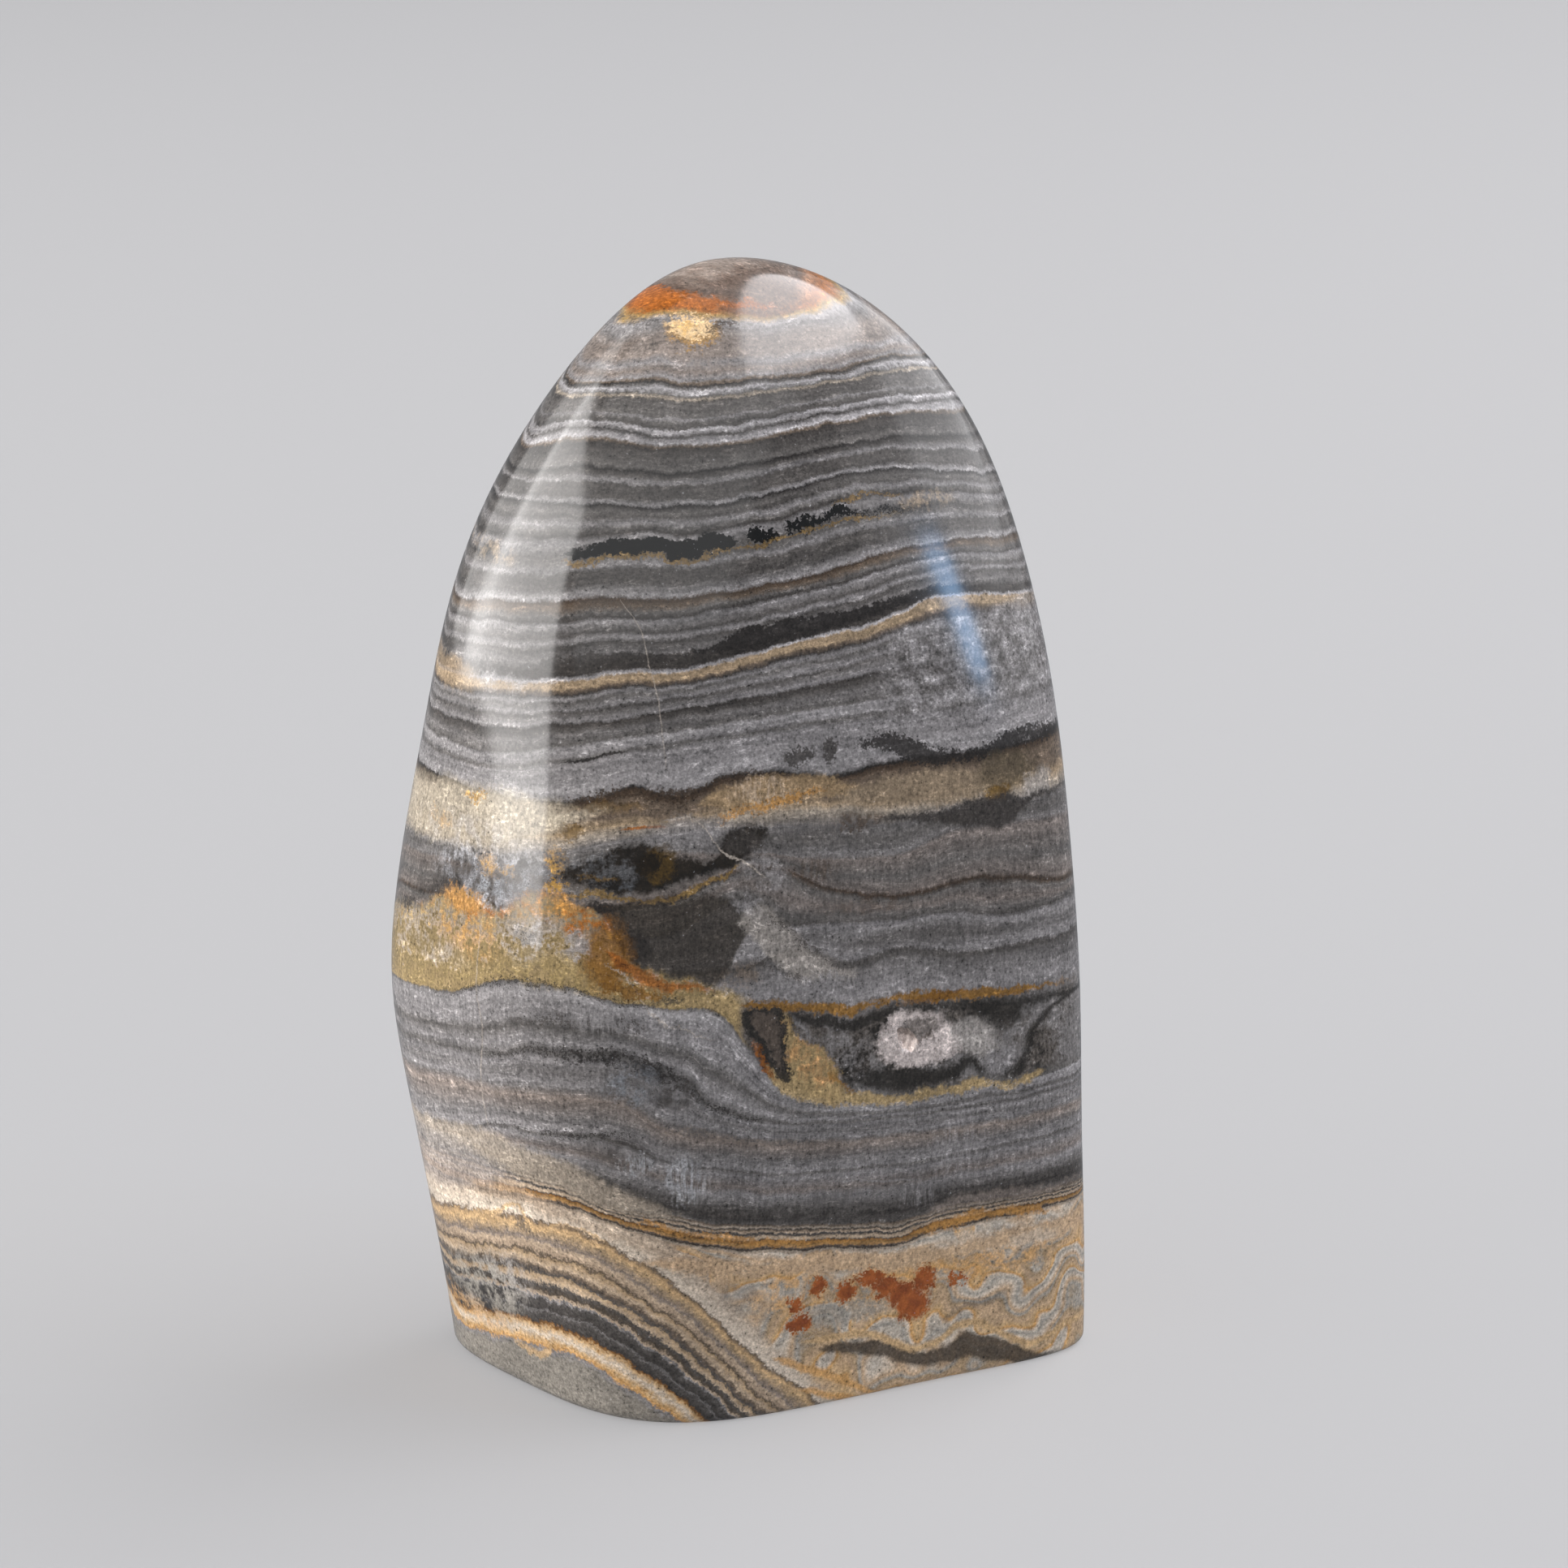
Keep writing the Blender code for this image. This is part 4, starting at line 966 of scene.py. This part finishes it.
def crystals(ground, colour, noises):
    """The patch of pale, blocky grains below the tan seam on the right."""
    inside = rise(ground.along, 11, 17) * rise(ground.calm, 60.5, 63.5)
    inside = inside * rise(ground.calm - ground.u * 0.06, 69.4, 68.4)
    shape = bands(noises["mottle"], ((0.34, "mid"), (0.44, "grey"), (0.52, "light"), (0.6, "pale"), (0.7, "white")))
    return blend(inside * 0.65, colour, shape)


def paint_ochre(ground, colour, height, noises):
    top = curve(ground.u, OCHRE_TOP)
    inside = rise(height, 37.9, 38.15) * rise(ground.wavy - top, 0.5, -0.5) * rise(ground.u, 2.5, 0.5)
    mix = noises["mottle"] * 0.7 + (height - 38) * 0.03
    fill = bands(mix, ((0.24, "yellow dull"), (0.34, "ochre zone"), (0.42, "yellow dull"), (0.48, "ochre zone"),
                       (0.53, "tan pale"), (0.6, "ochre zone"), (0.7, "amber")))
    colour = blend(inside * 0.95, colour, fill)
    return paint(ground, colour, noises, ZONE_MARKS)


def paint_pocket(ground, colour, height, noises):
    inside = rise(height, 38.0, 38.3) * rise(height, 40.1, 39.7) * rise(ground.u, 0.8, 1.6)
    soft = noises["mottle"] * 0.4 + noises["cloud"] * 0.6
    fill = bands(soft, ((0.4, "pocket dark"), (0.48, "pocket"), (0.58, "grey")))
    colour = blend(inside, colour, fill)
    colour = blend(inside, colour, paint(ground, colour, noises, POCKET_MARKS))
    area = upright(ground, 0.7, ((38.6, 5.0, -0.2), (38, 4.9, 0.2), (37, 5.0, 0.3), (36, 5.3, 0.4), (35, 6.0, 0.9),
                                 (34, 6.7, 1.4), (33, 7.2, 1.8), (32, 7.5, 2.0), (31, 8.0, 1.9), (30, 8.6, 1.4),
                                 (29, 9.4, 0.4), (28.5, 9.6, -0.5)))
    fill = blend(rise(noises["mottle"], 0.4, 0.65), "yellow", "amber")
    colour = blend(area * 0.95, colour, fill)
    colour = paint(ground, colour, noises, POCKET_RIM)
    outline = upright(ground, 0.4, ((38.6, 3, 1.2), (38, 3.1, 1.9), (37, 3.2, 1.8), (35, 3.9, 1.1), (33, 4.7, 0.65),
                                    (31.6, 5.1, 0.3), (31.2, 5.1, -0.3)))
    outline = outline * rise(ground.wavy, 38.7, 38.2)
    colour = blend(outline * 0.95, colour, "pocket dark")
    inner = upright(ground, 0.5, ((38.3, 3.1, 1.0), (37.4, 3.3, 1.1), (35, 4.0, 0.6), (33, 4.75, 0.25), (32, 5, -0.3)))
    colour = blend(inner * rise(ground.wavy, 38.2, 37.7) * 0.9, colour, "finger")
    glow = upright(ground, 0.5, ((36.2, 1.9, -0.2), (35, 2.4, 0.15), (34, 2.9, 0.25), (33, 3.4, 0.3), (32.2, 4.0, 0.15),
                                 (31.6, 4.6, -0.2)))
    colour = blend(glow * 0.9, colour, "rust orange")
    edge = upright(ground, 0.5, ((33, 8.6, -0.3), (31.5, 9.2, 0.15), (30.5, 9.9, 0.25), (29.6, 10.8, 0.2), (29, 11.4, -0.2)))
    colour = blend(edge * 0.7, colour, "yellow orange")
    lobe = upright(ground, 0.8, ((27.8, 25.2, -0.3), (28.5, 25.9, 0.4), (30, 26.7, 0.45), (32, 27.2, 0.4),
                                 (33.3, 28.2, 0.5), (34.1, 29.4, 0.6), (34.6, 31, 0.4), (35.2, 32, -0.3)))
    colour = blend(lobe * 0.9, colour, "pocket dark")
    disc = either(blob(ground, (16.4, 33.3), (3.3, 2.6), 0.3), blob(ground, (15.1, 35.3), (0.8, 1.2), 0.6))
    disc = either(disc, blob(ground, (18.6, 32.3), (1.8, 1.3), 0.6))
    colour = blend(disc * 0.95, colour, "ring")
    colour = blend(blob(ground, (17.0, 34.4), (1.9, 0.9), 0.7) * 0.8, colour, "pocket")
    arch = blob(ground, (17.7, 33.2), (0.6, 0.7), 0.5) - blob(ground, (17.7, 32.9), (0.35, 0.45), 0.6)
    return blend(maths("MAXIMUM", arch, 0) * 0.6, colour, "brown dark")


DIP = ((-36, 12), (-26, 15.0), (-22, 16.4), (-18.5, 17.5), (-15, 17.9), (-13, 17.8), (-10, 16.7), (-7, 14.8),
       (-4, 12.5), (-1, 9.5), (2, 6), (5, 3), (7, 1), (10, -2.5), (16, -9), (36, -34))
DIPPING_BEDS = (
    (-18, "grey foot"), (-13.3, "grey foot"), (-12.7, "light"), (-12.35, "orange low"), (-11.9, "cream orange"),
    (-11.2, "white warm"), (-10.5, "cream orange"), (-10.2, "rust line"), (-9.9, "dark"), (-9.0, "dusk"),
    (-8.8, "grey"), (-8.6, "dark"), (-7.5, "dusk"), (-7.2, "light"), (-6.95, "cream low"), (-6.7, "bed dark"),
    (-6.0, "dusk"), (-5.7, "cream low"), (-5.2, "tan low"), (-4.95, "dusk"), (-4.4, "brown"),
    (-3.9, "cream low"), (-3.3, "tan low"), (-3.05, "bed dark"), (-2.6, "beige"), (-2.0, "cream low"),
    (-1.7, "brown light"), (-0.8, "tan low"), (-0.2, "cream orange"), (0.4, "brown"), (0.8, "white warm"), (5.0, "beige"),
)


def paint_foot(ground, colour, height, noises):
    below = rise(height, 16.9, 16.6)
    dip = curve(ground.u, DIP)
    left = bands(ground.wavy - dip, DIPPING_BEDS)
    left = scaled(left, swing(noises["laminae"], 0.5))
    swirl = ground.calm * 0.2 + noises["cloud"] * 3.4 + ground.u * 0.03
    right = bands(maths("FRACT", swirl), ((0.0, "peach low"), (0.16, "white warm"), (0.3, "grey low"),
                                         (0.4, "white warm"), (0.48, "orange low"), (0.54, "cream orange"),
                                         (0.66, "peach low"), (0.78, "tan low"), (0.88, "grey low"),
                                         (1.0, "peach low")))
    edge = curve(ground.v, ((-6, 13.5), (0, 9.5), (5, 5.5), (10, 1.5), (14.5, -2), (18, -5), (26, -12)))
    share = rise(ground.along - edge, -0.9, 0.9)
    colour = blend(below, colour, blend(share, left, right))
    colour = paint(ground, colour, noises, LEFT_FOOT_MARKS)
    colour = blend(below, colour, paint(ground, colour, noises, FOOT_MARKS))
    colour = paint(ground, colour, noises, K_MARKS)
    spots = None
    for centre, size in RUST_BLOBS:
        spot = blob(ground, centre, size, 1.1, "ragged")
        spots = spot if spots is None else either(spots, spot)
    colour = blend(spots * 0.8, colour, "orange low")
    core = rise(spots * swing(noises["mottle"], 0.8), 0.2, 0.8, 0.92)
    return blend(core, colour, blend(rise(noises["mottle"], 0.4, 0.6), "rust", "rust deep"))


def broad_paleness(ground):
    """Broad differences in paleness: darker high on the left of the front, paler down its left side."""
    upper = blob(ground, (-8, 80), (14, 14), 1.2)
    left = rise(ground.u, -12, -25) * rise(ground.v, 40, 26) * rise(ground.v, 12, 20)
    return maths("MULTIPLY_ADD", upper, -0.18, 1.0) * maths("MULTIPLY_ADD", left, 0.5, 1.0)


def stone_material():
    global TREE
    material = bpy.data.materials.new("banded_jasper")
    material.use_nodes = True
    TREE = material.node_tree
    shader = TREE.nodes["Principled BSDF"]
    ground = Ground()
    height = nominal_height(ground)
    colour = paint_beds(height)
    noises = tones_of(ground, height)
    ground.follow(noises["laminae"])
    noises["breaks"] = {patch: broken(noises, patch) for patch in ("", "mottle", "dots", "fibre")}
    colour = scaled(colour, swing(noises["laminae"], 0.85))
    colour = paint(ground, colour, noises, TOP_MARKS)
    colour = crystals(ground, colour, noises)
    colour = paint(ground, colour, noises, MIDDLE_MARKS)
    colour = paint(ground, colour, noises, GREY_MARKS)
    colour = paint(ground, colour, noises, EYE_MARKS)
    colour = paint_ochre(ground, colour, height, noises)
    colour = paint_pocket(ground, colour, height, noises)
    colour = paint_foot(ground, colour, height, noises)
    cracks = either(fracture(ground, CRACK_TOP), fracture(ground, CRACK_LEFT))
    colour = blend(cracks, colour, "vein")
    needles = rise(ground.v, 14, 20) * rise(ground.v, 60, 56)
    colour = blend(rise(noises["grain"], 0.34, 0.26, 0.8), colour, "night")
    colour = blend(rise(noises["grain"], 0.70, 0.78, 0.5), colour, "fleck")
    texture = swing(noises["grain"], 0.85) * swing(noises["cloud"], 0.2)
    texture = texture * maths("MULTIPLY_ADD", ground.dust, 0.65, 1.0)
    texture = texture * maths("MULTIPLY_ADD", (noises["fibre"] - 0.5) * needles, 1.1, 1.0)
    texture = texture * swing(noises["mottle"], 0.4)
    threads = rise(abs(noises["lines"] - 0.5), 0.035, 0.0) * rise(ground.v, 12, 20)
    texture = texture * maths("MULTIPLY_ADD", threads * (noises["mottle"] - 0.43), 4.0, 1.0)
    # Broad paleness by place: darker high on the left of the front, paler down its left side
    texture = texture * broad_paleness(ground)
    colour = scaled(colour, texture)
    feed(shader.inputs["Base Color"], colour)
    sawn = rise(ground.z, 0.5, 0.1)
    feed(shader.inputs["Roughness"], maths("MULTIPLY_ADD", sawn, 0.4, 0.1) + noises["mottle"] * 0.08)
    shader.inputs["IOR"].default_value = 1.54
    return material


camera_and_light()
floor()
stone = fine_stone()
bpy.context.scene.collection.objects.link(stone)
cut_vug(stone)
stone.data.materials.clear()
stone.data.materials.append(stone_material())
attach(stone, "root")
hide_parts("stone")
